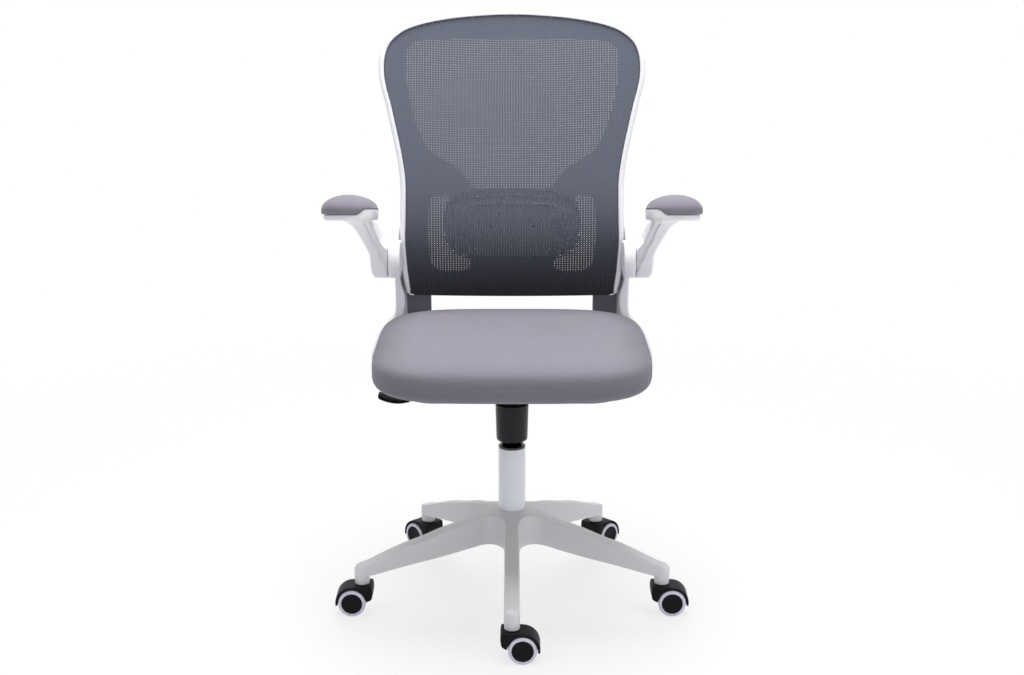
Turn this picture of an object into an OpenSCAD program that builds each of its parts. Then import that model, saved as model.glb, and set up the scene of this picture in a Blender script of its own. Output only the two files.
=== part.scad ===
// Swivel chair: mesh back, flip-up arms, tilting seat and gas lift on a base with casters.
// The origin is on the floor under the column. The sitter faces -Y and has +X on the left.

/* [Base] */
// Radius of the circle through the caster stems
caster_circle_r = 287; // [265:1:310]
// Width of a base arm
base_arm_w = 28; // [24:1:32]
// Radius of the fillet between two base arms
base_fillet_r = 35; // [28:1:42]
// Height of the hub's top above the floor
hub_top_z = 167; // [160:1:175]
// Height of the hub's lower edge above the floor
hub_low_z = 110; // [104:1:116]
// Height of the top of a base arm at its end
arm_end_top_z = 91; // [86:1:96]
// Height of the underside of a base arm at its end
arm_end_low_z = 69; // [66:1:72]
// Wall of the moulded base
base_wall = 4; // [3:0.5:5]
// Thickness of the ribs under the base
base_rib_t = 3; // [2:0.5:4]
// Outer radius of the tube inside the hub
hub_tube_r = 31; // [29:1:34]
// Outer radius of a stem socket
socket_r = 14.5; // [13:0.5:16]
// Height of a socket's lower face above the floor
socket_low_z = 62; // [61.5:0.5:64]

/* [Casters] */
// Radius of a caster wheel over its tread
wheel_r = 25; // [24:0.5:26]
// Radius of a black wheel core
core_r = 19; // [17:0.5:20]
// Width of one wheel
wheel_w = 17.5; // [15:0.5:18]
// Gap between the two wheels of a caster
wheel_gap = 14; // [13:0.5:16]
// Distance from the stem's axis back to the axle
caster_trail = 18; // [16:0.5:19]
// Radius of an axle
axle_r = 4; // [3:0.5:5]
// Radius of a caster stem
stem_r = 5.5; // [5:0.25:6]
// Thickness of the hood's fender
fender_t = 4; // [3:0.5:5]
// Width of a hood across both wheels
hood_w = 46; // [42:1:48]
// Distance from the stem's axis to the hood's flat front
hood_front = 19; // [17:0.5:21]
// Height of the hood's top above the floor
hood_top_z = 61; // [60:0.5:61.4]

/* [Gas lift] */
// Outer radius of the lift's outer tube
column_r = 25; // [24.5:0.5:26]
// Wall of the outer tube
column_wall = 2; // [1.5:0.25:2.5]
// Height of the outer tube's lower end above the floor
column_low_z = 97; // [95:1:102]
// Height of the outer tube's upper end above the floor
column_top_z = 285; // [275:1:290]
// Height of the collar on top of the outer tube
collar_h = 13; // [10:1:14]
// Radius of the pressure cylinder
cylinder_r = 14; // [13.5:0.25:15]
// Wall of the pressure cylinder
cylinder_wall = 1.8; // [1.5:0.1:2.2]
// Height of the cylinder's upper end above the floor
cylinder_top_z = 396; // [394:1:398]
// Length of the pressure cylinder
cylinder_l = 201; // [195:1:206]
// Radius of the piston rod
rod_r = 5; // [4:0.5:6]
// Radius of the valve button
button_r = 3; // [2.5:0.25:4]
// Outer radius of the black cup under the seat
cover_r = 30.5; // [30:0.5:33]
// Length of the black cup
cover_l = 74; // [66:1:74]
// Wall of the black cup
cover_wall = 2.5; // [2:0.25:3]

/* [Tilt mechanism] */
// Height of the underside of the tilt housing above the floor
housing_low_z = 374; // [373:0.5:375]
// Outside width of the tilt housing
housing_w = 106; // [100:1:110]
// Sheet thickness of the housing and the seat plate
sheet_t = 3; // [2.5:0.25:3.5]
// Distance of the housing's front end ahead of the column's axis
housing_front = 66; // [62:1:70]
// Distance of the housing's rear end behind the column's axis
housing_rear = 110; // [104:1:116]
// Distance of the tilt axis ahead of the column's axis
tilt_ahead = 30; // [28:1:32]
// Height of the tilt axis above the floor
tilt_z = 400; // [399:0.5:401]
// Radius of the tilt pin
tilt_pin_r = 6; // [5:0.5:7]
// Distance of the tension spring behind the column's axis
spring_behind = 68; // [66:1:72]
// Mean radius of the tension spring
spring_r = 12; // [11:0.5:13]
// Wire radius of the tension spring
spring_wire_r = 2; // [1.5:0.25:2.25]
// Curls of the tension spring
spring_curls = 6; // [5:1:7]
// Radius of the tension knob
knob_r = 22; // [18:1:24]
// Height of the tension knob
knob_h = 18; // [16:1:20]
// Radius of the tension screw
screw_r = 5; // [4:0.5:6]
// Radius of the lever rod
lever_r = 3.5; // [3:0.25:4]
// Distance of the lever paddle's tip from the centre of the chair
lever_reach = 243; // [236:1:250]
// Length of the lever paddle
paddle_l = 59; // [52:1:64]
// Width of the lever paddle
paddle_w = 40; // [34:1:44]

/* [Seat] */
// Width of the seat cushion
seat_w = 494; // [490:1:502]
// Distance of the cushion's front ahead of the column's axis
seat_front = 250; // [240:5:260]
// Distance of the cushion's rear behind the column's axis
seat_rear = 230; // [225:1:232]
// Height of the crown of the cushion above the floor
seat_crown_z = 507; // [500:1:512]
// Height of the widest line of the cushion above the floor
seat_waist_z = 457; // [455:1:459]
// Height of the seat board's underside above the floor
board_low_z = 427; // [426.5:0.5:427.5]
// Thickness of the seat board
board_t = 10; // [9:0.5:11]
// Half the width of the seat board
board_half_w = 190; // [184:1:196]

/* [Brackets] */
// Distance of a bracket upright's outer face from the centre of the chair
upright_out = 223; // [221:0.5:226]
// Thickness of a bracket beside the cushion
bracket_side_t = 13; // [11:0.5:16]
// Thickness of a bracket's foot
foot_t = 12; // [10:0.5:14]
// Height of a bracket's top above the floor
bracket_top_z = 674; // [668:1:684]
// Distance of the arm's pivot behind the column's axis
pivot_behind = 127; // [124:1:130]
// Height of the arm's pivot above the floor
pivot_z = 614; // [610:1:618]
// Radius of the pivot block
pivot_block_r = 34.5; // [32:0.5:35.5]
// Radius of an arm's pivot pin
pivot_pin_r = 6; // [5:0.5:7]

/* [Arms] */
// Thickness of an arm's root
arm_root_t = 33; // [31:0.5:34]
// Height of a tray's top face above the floor
tray_top_z = 748; // [744:1:752]
// Slope of a tray, its rear end lower than its front
tray_slope = 9.5; // [7:0.5:11]
// Thickness of a tray
tray_t = 10; // [8:0.5:12]
// Distance of a pad's centre line from the centre of the chair
pad_x = 278.5; // [276:0.5:284]
// Width of an arm pad
pad_w = 90; // [84:1:94]
// Distance of a pad's front ahead of the column's axis
pad_front = 160; // [150:1:170]
// Distance of a pad's rear behind the column's axis
pad_rear = 90; // [80:1:100]
// Height of a pad's crown above its tray
pad_h = 34; // [30:1:38]

/* [Back] */
// Height of the back's lower edge above the floor
back_low_z = 524; // [522:1:528]
// Height of the back from its lower edge to its top
back_h = 540.5; // [520:1:560]
// Largest width of the back
back_w = 504; // [494:1:510]
// Radius of the back's sideways curve
back_curve_r = 900; // [880:10:940]
// Height of the foremost line of the back above the floor
lumbar_z = 640; // [630:1:650]
// Distance of the foremost line of the back behind the column's axis
lumbar_behind = 198; // [196:0.5:200]
// How softly the back bends at its foremost line
bend_soft = 60; // [50:1:70]
// Depth of the shell behind the mesh
shell_depth = 24; // [22:0.5:25]
// Height of the rim in front of the mesh
rim_proud = 4; // [3:0.5:5]
// Thickness of the stretched mesh
mesh_t = 1.2; // [1:0.1:1.4]
// Thickness of the shell's panel
panel_t = 4; // [3.5:0.5:5]
// Width of the lumbar pad
lumbar_w = 256; // [240:2:262]
// Height of the lumbar pad
lumbar_h = 133; // [124:1:136]
// Thickness of the lumbar pad
lumbar_t = 3.5; // [3:0.5:4.5]

/* [Hidden] */
$fn = 64;

// Clearances and small shared sizes
cut = 1;             // how far a cutting shape runs past what it cuts
run_gap = 0.05;      // radial gap of a pin or shaft that turns or slides
press_gap = 0.02;    // radial gap of a pin that is pressed in
free_gap = 0.3;      // gap between faces that pass each other
screw_gap = 0.3;     // radial gap of a screw in its hole
bevel = 1.5;         // edge bevel of small turned pieces

// Five arms, the first one towards the front
base_arms = 5;
arm_step = 360 / base_arms;
first_arm = -90;
// Headings of the casters' wheels in their resting places, one for each arm
caster_heading = [0, 0, 45, 135, 180];

// Upper and lower edges of a base arm: shares of the caster circle and of the drop to the end
base_top_shares = [[0, 1], [0.16, 0.99], [0.3, 0.88], [0.45, 0.72], [0.6, 0.53], [0.73, 0.355],
                   [0.87, 0.16], [0.95, 0.045], [1, 0], [1.03, -0.03], [1.046, -0.09],
                   [1.052, -0.18]];
base_low_shares = [[0, 1], [0.174, 1], [0.45, 0.6], [0.73, 0.22], [0.95, 0], [1.052, 0]];
base_arc_steps = 10;
base_cross_shares = [0.36, 0.54, 0.72, 0.86];
stem_top_drop = 6;            // the stem ends this far under the arm's top
column_taper = 0.9;           // how much the tube's radius shrinks inside the hub
hub_tube_drop = 5;            // the hub's tube ends this far under the outer tube

// Caster hood outline, about the axle: from the flat front over the stem to the fender's end
hood_lean = 12;               // height of the flat front's rounded foot
hood_flat_back = 8;           // the flat top ends this far behind the stem's axis
fender_start = 72;            // the fender's arc begins and ends at these angles
fender_end = -8;
fender_gap = 1.4;             // gap between a tread and the fender
wheel_well_r = wheel_r + fender_gap;
hood_r = wheel_well_r + fender_t;
hood_web_r = 12;              // lower lobe of the hood's web, round the axle
hood_web_start = -30;         // the lobe's arc begins and ends at these angles
hood_web_end = -150;
web_t = wheel_gap - 2 * free_gap;
axle_end_gap = 2;             // the axle ends this far inside the wheels' outer faces
core_dish = 1.5;              // how far a core's outer face is dished
stem_hole_l = 14.5;           // depth of the stem's hole in the hood
stem_hole_low = hood_top_z - stem_hole_l;

// Gas lift
cylinder_low_z = cylinder_top_z - cylinder_l;
button_proud = 5;
button_l = 25;
button_travel_room = 6;
rod_low_drop = 8;             // the rod reaches this far below the outer tube
column_floor = 3;
piston_up = 55;               // the piston's height in the cylinder, and its place
piston_z = cylinder_low_z + piston_up;
piston_h = 12;
plug_h = 24;                  // solid head of the cylinder
gland_h = 10;                 // solid foot of the cylinder
cylinder_taper_h = 40;
cylinder_taper = 0.5;
bush_l = 110;                 // length of the guide bush inside the outer tube
bush_low_z = column_top_z - bush_l;
collar_neck = 3;
bearing_h = 6;
bearing_r = 11;
clip_h = 3;
clip_r = 9;
clip_notch = 4;
cover_low_z = housing_low_z - cover_l;
cover_bevel = 2.5;
cover_draft = 1;
cover_hole_gap = 0.4;

// Tilt mechanism
housing_half = housing_w / 2;
// Housing outline: shares of its reach ahead (below 0) or behind (above 0), and of its height
housing_shares = [[-1, 0.42], [-0.08, 0], [1, 0], [1, 0.355], [0, 0.89], [-0.45, 1],
                  [-0.83, 0.97], [-1, 0.8]];
housing_h = 45;
socket_wall = 5.5;
nut_t = 4;
nut_l = 34;
nut_w = 40;
nut_lift = 2;                 // gap between the housing's floor and the nut at rest
spring_low_z = housing_low_z + sheet_t + nut_lift + nut_t;
plate_low_z = board_low_z - sheet_t;
spring_top_z = plate_low_z - free_gap;
knob_gap = 5;                 // the knob's top is this far under the housing
knob_flutes = 10;
flute_r = 3;
screw_top_drop = 25;          // leaves room under the seat plate when the seat is tilted
screw_top_z = plate_low_z - screw_top_drop;
flange_gap = 1.3;             // gap between the housing and the seat plate's flanges
flange_ahead = 22;
flange_behind = 16;
flange_drop = 12;             // the flanges reach this far under the tilt axis
flange_x = housing_half + flange_gap;
pin_head_t = 2.4;
pin_head_r = 8.5;
plate_half_w = 75;
plate_front = 90;
plate_rear = 110;
plate_corner = 12;
lever_press_gap = 0.5;
lever_z = cylinder_top_z + button_proud + lever_press_gap + lever_r;
lever_bead = 0.7;             // how far the rod's bead stands proud of the rod
lever_bead_r = lever_r + lever_bead;
trunnion_r = 1.5;              // cross pin that the lever rod rocks on
trunnion_l = 11;
bushing_r = 6.45;
bushing_flange_r = 9;
bushing_flange_t = 2;
bushing_in = 8;               // how far the bushing reaches inside the housing
bushing_out = 5;              // how far it stands outside the housing's wall
lever_in = 10;                // the rod's inner end, past the button's axis
paddle_root_x = lever_reach - paddle_l;
// Lever rod after its straight part: shares of the way to the paddle, sideways and down
lever_bend_shares = [[0.52, 0, 0], [0.76, 0.6, 0.6], [1.03, 1, 1]];
elbow_proud = 0.15;           // how far the rod's bends stand proud of the rod
lever_side = 15;
lever_drop = 20;
// Paddle side view: shares of its length from the root and of its rise
paddle_low_shares = [[0, 0.2], [0.25, 0.02], [0.5, 0.05], [0.75, 0.3], [1, 0.72]];
paddle_rise = 15;
paddle_t = 4.2;
paddle_dip = 6;               // the paddle's lowest line lies this far under the rod's end
paddle_low_z = lever_z - lever_drop - paddle_dip;
paddle_corner = 9;

// Seat cushion: one rounded outline, drawn in above and below the waist
seat_half_w = seat_w / 2;
seat_corner_power = 4.2;
seat_side_power = 5;
cushion_low_z = board_low_z + board_t;
waist_drop = 24;              // depth of the lower bulge before the board flattens it
cushion_steps = 60;
cushion_top_rings = 12;
cushion_low_rings = 7;
board_front = 190;
board_rear = 205;
board_corner = 60;
bolt_r = 3;
bolt_head_r = 5.5;
bolt_head_t = 4;
bolt_bite = 8;
seat_bolt_x = 63;
seat_bolt_ahead = 72;
seat_bolt_behind = 95;

// Brackets. Section seen from the front: distances out and heights, as the cushion's side asks
foot_in = 157;
side_gap = 1;                 // gap between the cushion's side and the bracket
bracket_in = seat_half_w + side_gap;
bracket_out = bracket_in + bracket_side_t;
foot_low_z = board_low_z - foot_t;
upright_in = 206;
upright_in_high = 214.5;
section_h = seat_waist_z - foot_low_z;
// Outer edge of the section: shares of the way from the upright to the widest place, and up
outer_shares = [[0.32, 0], [0.68, 0.1], [0.93, 0.36], [1, 0.72], [0.97, 0.9], [0.83, 1.05],
                [0.58, 1.26], [0.36, 1.55], [0.17, 1.83], [0.05, 2.2], [0, 2.75]];
// Inner edge of the section: shares of the way from the upright's inner face, and up
inner_shares = [[0.7, 0.286], [0.9, 0.4], [1, 0.62], [1, 0.94], [0.82, 1.12], [0.58, 1.29],
                [0.4, 1.5], [0.24, 1.78], [0.09, 2.2], [0, 2.65]];
flare_low_z = 535;            // the upright's inner face steps out between these heights
flare_top_z = 557;
// Side view: distance behind the column's axis and height, as shares of the rear and the rise
bracket_rear = 232;
bracket_rise = bracket_top_z - foot_low_z;
side_shares = [[0.27, 0], [0.8, 0], [0.915, 0.035], [0.98, 0.115], [1, 0.235], [0.99, 0.42],
               [0.965, 0.56], [0.945, 0.7], [0.93, 0.85], [0.9, 0.95], [0.83, 1], [0.76, 0.98],
               [0.715, 0.9], [0.69, 0.84], [0.66, 0.78], [0.66, 0.68], [0.725, 0.61], [0.752, 0.52],
               [0.765, 0.4], [0.77, 0.25], [0.755, 0.17], [0.7, 0.149], [0.35, 0.149],
               [0.28, 0.125], [0.25, 0.08], [0.25, 0.02]];
block_in = 208;
block_out = 230;
block_behind = 165;
block_neck_h = 58;
seam_gap = 0.8;
// Rear flange: shares of the rear and of the rise, front edge first
flange_in = 157;
flange_front_shares = [[0.978, 0.17], [0.978, 0.36], [0.962, 0.47], [0.938, 0.56],
                       [0.922, 0.67], [0.914, 0.835]];
flange_t = 8;
boss_r = 8;
boss_x = 176;
boss_z = [568, 618];
boss_l = 26;
boss_rear = bracket_rear - flange_t / 2;
foot_bolt_x = 172;
foot_bolt_behind = [80, 120, 160];
screw_small_r = 2.5;
screw_head_r = 4.5;
screw_head_t = 3;
block_pin_in = 2;

// Arms. Front view: shares of the way from the root's inner face to the tray's outer edge, and up
arm_in = block_out + seam_gap;
tray_inset = 4;
arm_out = pad_x + pad_w / 2 - tray_inset;
arm_low_z = pivot_z - pivot_block_r;
arm_rise = tray_top_z - arm_low_z;
arm_span = arm_out - arm_in;
arm_root_share = arm_root_t / arm_span;
arm_outer_shares = [[0.12, 0], [arm_root_share - 0.07, 0.025], [arm_root_share - 0.03, 0.09],
                    [arm_root_share - 0.018, 0.16], [arm_root_share - 0.018, 0.3],
                    [arm_root_share + 0.015, 0.355], [arm_root_share + 0.07, 0.43],
                    [arm_root_share + 0.175, 0.575], [arm_root_share + 0.3, 0.71],
                    [arm_root_share + 0.395, 0.785], [1, 0.87], [1, 1]];
arm_inner_shares = [[0.27, 1], [0.27, 0.72], [0.17, 0.54], [0.08, 0.42], [0, 0.36], [0, 0.02]];
// Side view of an arm: shares of the way from the pivot to the pad's front, and up
arm_reach = pivot_behind + pad_front;
arm_low_shares = [[0, 0], [0.066, 0.03], [0.118, 0.132], [0.146, 0.25], [0.192, 0.384],
                  [0.258, 0.513], [0.338, 0.636], [0.425, 0.727], [0.547, 0.804], [0.704, 0.865],
                  [0.9, 0.93]];
arm_top_shares = [[0.9, 0.95], [0.25, 0.765], [0.17, 0.72], [0.1, 0.65], [0.03, 0.57],
                  [-0.04, 0.49], [-0.09, 0.4], [-0.115, 0.3]];
tray_corner_power = 3;
tray_steps = 40;
lip_r = 12;
lip_x = pad_x - pad_w / 2 + lip_r;
lip_z = tray_top_z - tray_t / 2;
lip_front = 112;
lip_rear = 30;
pin_end_gap = 8;

// Arm pads: a superellipse, crowned and drawn in
pad_centre_y = (pad_rear - pad_front) / 2;
pad_half_l = (pad_rear + pad_front) / 2;
pad_power = 2.6;
pad_side_power = 2.3;
pad_waist = 7;                // height of the widest line over the tray
pad_steps = 40;
pad_top_rings = 7;
pad_low_rings = 3;

// Back: half outlines as shares of half the width and of the height, from the bottom up
back_half_w = back_w / 2;
rim_shares = [[0.79, 0.022], [0.806, 0.042], [0.819, 0.068], [0.83, 0.105], [0.835, 0.141],
              [0.843, 0.213], [0.842, 0.283], [0.838, 0.353], [0.842, 0.422], [0.86, 0.49],
              [0.889, 0.557], [0.921, 0.623], [0.954, 0.69], [0.979, 0.733], [0.997, 0.775],
              [1, 0.816], [0.99, 0.86], [0.952, 0.896], [0.885, 0.929], [0.817, 0.949],
              [0.722, 0.965], [0.595, 0.978], [0.365, 0.992], [0.16, 0.999], [0, 1]];
mesh_shares = [[0.77, 0.016], [0.776, 0.035], [0.782, 0.068], [0.79, 0.1], [0.796, 0.141],
               [0.804, 0.213], [0.8, 0.283], [0.798, 0.353], [0.8, 0.422], [0.82, 0.49],
               [0.848, 0.557], [0.88, 0.623], [0.914, 0.69], [0.94, 0.733], [0.957, 0.775],
               [0.96, 0.82], [0.945, 0.86], [0.905, 0.896], [0.815, 0.929], [0.7, 0.949],
               [0.545, 0.964], [0.4, 0.973], [0.27, 0.978], [0.12, 0.982], [0, 0.983]];
bottom_bow = 6;               // the bottom edge rises this much towards its corners
bottom_share = 0.7;           // the bowed edge ends at this share of half the width
bottom_steps = 8;
curve_steps = 2;
back_lean = 0.02;             // mean slope of the back, and how far it turns at the bend
back_turn = 0.27;
slab_angle = 24;
slab_steps = 20;
slab_fn = 720;
slab_over = 6;                // the curved slabs run this far past the back's top and bottom
lip_wrap = 1.2;
wrap_depth = 18;
mesh_seat_gap = 0.4;
rim_ledge = 10;
ring_in = 3;
ring_w = 4;
ring_deep = 4;
ring_gap = 0.25;
panel_set = 15;
pad_set = 7;
// Cutting prisms run between these places behind the axis
back_front_y = lumbar_behind - back_half_w / 3;
back_rear_y = back_y(back_low_z + back_h) + shell_depth + cut;
// Upper window: shares of half the width and of the height, from the bottom centre up
window_shares = [[0, 0.386], [0.2, 0.386], [0.285, 0.39], [0.325, 0.408], [0.4, 0.45],
                 [0.52, 0.49], [0.62, 0.52], [0.675, 0.56], [0.722, 0.61], [0.76, 0.67],
                 [0.79, 0.74], [0.805, 0.8], [0.806, 0.84], [0.79, 0.87], [0.74, 0.89],
                 [0.66, 0.897], [0.5, 0.9], [0.25, 0.902], [0, 0.903]];
// Side windows, right one: closed outline in the same shares
side_window_shares = [[0.62, 0.352], [0.56, 0.366], [0.47, 0.364], [0.5, 0.33], [0.515, 0.27],
                      [0.5, 0.205], [0.44, 0.165], [0.34, 0.145], [0.31, 0.125], [0.34, 0.1],
                      [0.45, 0.092], [0.55, 0.1], [0.615, 0.13], [0.63, 0.2], [0.63, 0.28]];
lumbar_centre_z = 663;
lumbar_power = 3.2;
lumbar_steps = 48;
lumbar_ribs = 3;
rib_h = 4;
rib_proud = 1.2;
rib_l = 150;
rib_pitch = 9;
rib_centre_up = 46;
lumbar_screw_x = [40, 78];
slot_r = 4.5;
lumbar_travel = 15;
slot_spare = 4;
slider_w = 190;
slider_h = 26;
slider_t = 3;
slider_gap = 2;
slider_lean_gap = 0.75;        // room for the slope under the heads of the slider's screws
slider_boss_r = 4;

// Points on a smooth curve through the given points
function held(p, i) = p[min(max(i, 0), len(p) - 1)];
function blend(a, b, c, d, t) =
    b + t * (c - a) / 2 + t * t * (a - 2.5 * b + 2 * c - d / 2)
    + t * t * t * (1.5 * (b - c) + (d - a) / 2);
function curve(p, steps) = concat(
    [for (i = [0 : len(p) - 2], j = [0 : steps - 1])
        blend(held(p, i - 1), p[i], p[i + 1], held(p, i + 2), j / steps)],
    [p[len(p) - 1]]);
function ring_curve(p, steps) =
    [for (i = [0 : len(p) - 1], j = [0 : steps - 1])
        let (n = len(p))
        blend(p[(i + n - 1) % n], p[i], p[(i + 1) % n], p[(i + 2) % n], j / steps)];
function arc(centre, r, from, to, steps) =
    [for (k = [0 : steps])
        let (a = from + (to - from) * k / steps)
        centre + r * [cos(a), sin(a)]];
function turned(p, a) = [for (q = p) [q[0] * cos(a) - q[1] * sin(a), q[0] * sin(a) + q[1] * cos(a)]];
function placed(p, origin, size) = [for (q = p) [origin[0] + q[0] * size[0], origin[1] + q[1] * size[1]]];
function reversed(p) = [for (i = [len(p) - 1 : -1 : 0]) p[i]];
function opposite(p) = [for (i = [len(p) - 1 : -1 : 0]) [-p[i][0], p[i][1]]];
function power(v, e) = sign(v) * pow(abs(v), e);
function oval(half_w, half_l, e, steps) =
    [for (k = [0 : steps - 1])
        let (a = 360 * k / steps)
        [half_w * power(cos(a), 2 / e), half_l * power(sin(a), 2 / e)]];
// Outline of half a symmetric shape from bottom centre to top centre, completed to a whole
function whole(p) = concat(p, [for (i = [len(p) - 2 : -1 : 1]) [-p[i][0], p[i][1]]]);

// Extrusions along the three axes
module along_y(from, to) {
    translate([0, to, 0]) rotate([90, 0, 0]) linear_extrude(to - from) children();
}
module along_x(from, to) {
    translate([from, 0, 0]) rotate([90, 0, 90]) linear_extrude(to - from) children();
}
module pin_x(from, to, y, z, r) {
    translate([from, y, z]) rotate([0, 90, 0]) cylinder(h = to - from, r = r);
}
module pin_y(from, to, x, z, r) {
    translate([x, to, z]) rotate([90, 0, 0]) cylinder(h = to - from, r = r);
}
// Sitter's left for side 1 and right for side -1
module on_side(side) {
    if (side > 0) children();
    else mirror([1, 0, 0]) children();
}
// A shell between two levels of rings, closed at both ends by a fan
module ringed_solid(rings, low, high) {
    n = len(rings[0]);
    m = len(rings);
    points = concat([for (r = rings, q = r) q], [low, high]);
    faces = concat(
        [for (j = [0 : m - 2], i = [0 : n - 1], k = [0, 1])
            let (a = j * n + i, b = j * n + (i + 1) % n)
            k == 0 ? [a, a + n, b] : [b, a + n, b + n]],
        [for (i = [0 : n - 1]) [i, (i + 1) % n, m * n]],
        [for (i = [0 : n - 1]) [(m - 1) * n + (i + 1) % n, (m - 1) * n + i, m * n + 1]]);
    polyhedron(points = points, faces = faces, convexity = 4);
}

// Star base
function star_outline(w, fillet, reach) =
    let (out = (w / 2 + fillet) / sin(arm_step / 2), foot = out * cos(arm_step / 2))
    [for (i = [0 : base_arms - 1])
        each turned(
            concat(arc([reach, 0], w / 2, -90, 90, base_arc_steps),
                   arc([foot, w / 2 + fillet], fillet, 270, 90 + arm_step, base_arc_steps)),
            first_arm + i * arm_step)];
module base_profile(top_drop, low_drop) {
    top = placed(base_top_shares, [0, arm_end_top_z - top_drop],
                 [caster_circle_r, hub_top_z - arm_end_top_z]);
    low = placed(base_low_shares, [0, arm_end_low_z - low_drop],
                 [caster_circle_r, hub_low_z - arm_end_low_z]);
    rotate_extrude() polygon(concat(low, reversed(top)));
}
module star_prism(inward) {
    linear_extrude(hub_top_z + cut)
        polygon(star_outline(base_arm_w - 2 * inward, base_fillet_r + inward, caster_circle_r));
}
module at_arm(i, out) {
    rotate(first_arm + i * arm_step) translate([out, 0, 0]) children();
}
module at_each_arm(out) {
    for (i = [0 : base_arms - 1]) at_arm(i, out) children();
}
module base_ribs() {
    at_each_arm(0) translate([0, -base_rib_t / 2, 0]) cube([caster_circle_r, base_rib_t, hub_top_z]);
    for (s = base_cross_shares)
        at_each_arm(s * caster_circle_r)
            translate([-base_rib_t / 2, -base_arm_w / 2, 0])
                cube([base_rib_t, base_arm_w, hub_top_z]);
}
module hub_bore(r_more) {
    taper_h = hub_top_z - column_low_z;
    translate([0, 0, column_low_z - hub_tube_drop - cut])
        cylinder(h = hub_tube_drop + cut, r = column_r - column_taper + r_more);
    translate([0, 0, column_low_z])
        cylinder(h = taper_h, r1 = column_r - column_taper + r_more, r2 = column_r + r_more);
    translate([0, 0, hub_top_z]) cylinder(h = cut, r = column_r + r_more);
}
module star_base() {
    tube_low_z = column_low_z - hub_tube_drop;
    color("gainsboro") difference() {
        union() {
            difference() {
                intersection() {
                    star_prism(0);
                    base_profile(0, 0);
                }
                difference() {
                    intersection() {
                        star_prism(base_wall);
                        base_profile(base_wall, base_wall);
                    }
                    base_ribs();
                    at_each_arm(caster_circle_r) cylinder(h = hub_top_z, r = socket_r);
                    cylinder(h = hub_top_z, r = hub_tube_r);
                }
            }
            translate([0, 0, tube_low_z]) cylinder(h = hub_low_z - tube_low_z + cut, r = hub_tube_r);
            at_each_arm(caster_circle_r)
                translate([0, 0, socket_low_z])
                    cylinder(h = arm_end_top_z - socket_low_z - stem_top_drop / 2, r = socket_r);
        }
        hub_bore(press_gap);
        at_each_arm(caster_circle_r)
            translate([0, 0, socket_low_z - cut])
                cylinder(h = arm_end_top_z - stem_top_drop - socket_low_z + cut,
                         r = stem_r + press_gap);
    }
}
module caster_stems() {
    low_z = stem_hole_low + free_gap;
    color("silver") at_each_arm(caster_circle_r)
        translate([0, 0, low_z])
            cylinder(h = arm_end_top_z - stem_top_drop - free_gap - low_z, r = stem_r);
}

// Casters
module at_caster(i) {
    at_arm(i, caster_circle_r) rotate(caster_heading[i] - first_arm - i * arm_step) children();
}
module hood_outline() {
    axle = [caster_trail, wheel_r];
    polygon(concat(
        [[-hood_front, wheel_r + hood_lean], [-hood_front, hood_top_z - bevel],
         [-hood_front + bevel, hood_top_z], [hood_flat_back, hood_top_z]],
        arc(axle, hood_r, fender_start, fender_end, base_arc_steps),
        arc(axle, hood_web_r, hood_web_start, hood_web_end, base_arc_steps),
        [[-hood_front + hood_lean, wheel_r - bevel]]));
}
module caster_hood(i) {
    color("dimgray") at_caster(i) difference() {
        along_y(-hood_w / 2, hood_w / 2) hood_outline();
        for (s = [-1, 1])
            pin_y(min(s * web_t / 2, s * hood_w), max(s * web_t / 2, s * hood_w),
                  caster_trail, wheel_r, wheel_well_r);
        pin_y(-hood_w, hood_w, caster_trail, wheel_r, axle_r + run_gap);
        translate([0, 0, stem_hole_low])
            cylinder(h = hood_top_z - stem_hole_low + cut, r = stem_r + run_gap);
    }
}
module caster_axle(i) {
    half_l = wheel_gap / 2 + wheel_w - axle_end_gap;
    color("silver") at_caster(i) pin_y(-half_l, half_l, caster_trail, wheel_r, axle_r);
}
// Each wheel is turned about the axle: its profile runs from the gap's side outwards
module turned_wheel(side) {
    translate([caster_trail, side * wheel_gap / 2, wheel_r])
        rotate([side > 0 ? -90 : 90, 0, 0])
            rotate_extrude() children();
}
module caster_wheels(i) {
    bore = axle_r + press_gap;
    core = core_r - press_gap;
    color("dimgray") at_caster(i) for (s = [-1, 1])
        turned_wheel(s) polygon([[bore, 0], [core, 0], [core, wheel_w - bevel],
                                 [core - bevel, wheel_w], [core / 2, wheel_w - core_dish / 2],
                                 [bore, wheel_w - core_dish]]);
}
module caster_treads(i) {
    color("lavender") at_caster(i) for (s = [-1, 1])
        turned_wheel(s) polygon([[core_r, 0], [wheel_r - bevel, 0], [wheel_r, bevel],
                                 [wheel_r, wheel_w - 2 * bevel], [wheel_r - bevel, wheel_w - bevel / 2],
                                 [core_r + bevel, wheel_w], [core_r, wheel_w - bevel]]);
}

// Gas lift
module lift_column() {
    inner = column_r - column_wall;
    color("ghostwhite") difference() {
        union() {
            translate([0, 0, column_low_z])
                cylinder(h = hub_top_z - column_low_z, r1 = column_r - column_taper, r2 = column_r);
            translate([0, 0, hub_top_z]) cylinder(h = column_top_z - hub_top_z, r = column_r);
        }
        translate([0, 0, column_low_z + column_floor])
            cylinder(h = column_top_z, r = inner - column_taper);
        translate([0, 0, bush_low_z]) cylinder(h = column_top_z, r = inner);
        translate([0, 0, column_low_z - cut])
            cylinder(h = column_floor + 2 * cut, r = rod_r + free_gap);
    }
}
module lift_bushing() {
    inner = cylinder_r + run_gap;
    outer = column_r - column_wall - press_gap;
    neck = column_r - collar_neck;
    top_z = column_top_z + collar_h;
    color("black") rotate_extrude()
        polygon([[inner, bush_low_z + free_gap], [outer, bush_low_z + free_gap],
                 [outer, column_top_z], [column_r, column_top_z],
                 [column_r, column_top_z + collar_h / 2], [neck + bevel, top_z - bevel],
                 [neck, top_z], [inner, top_z]]);
}
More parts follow.
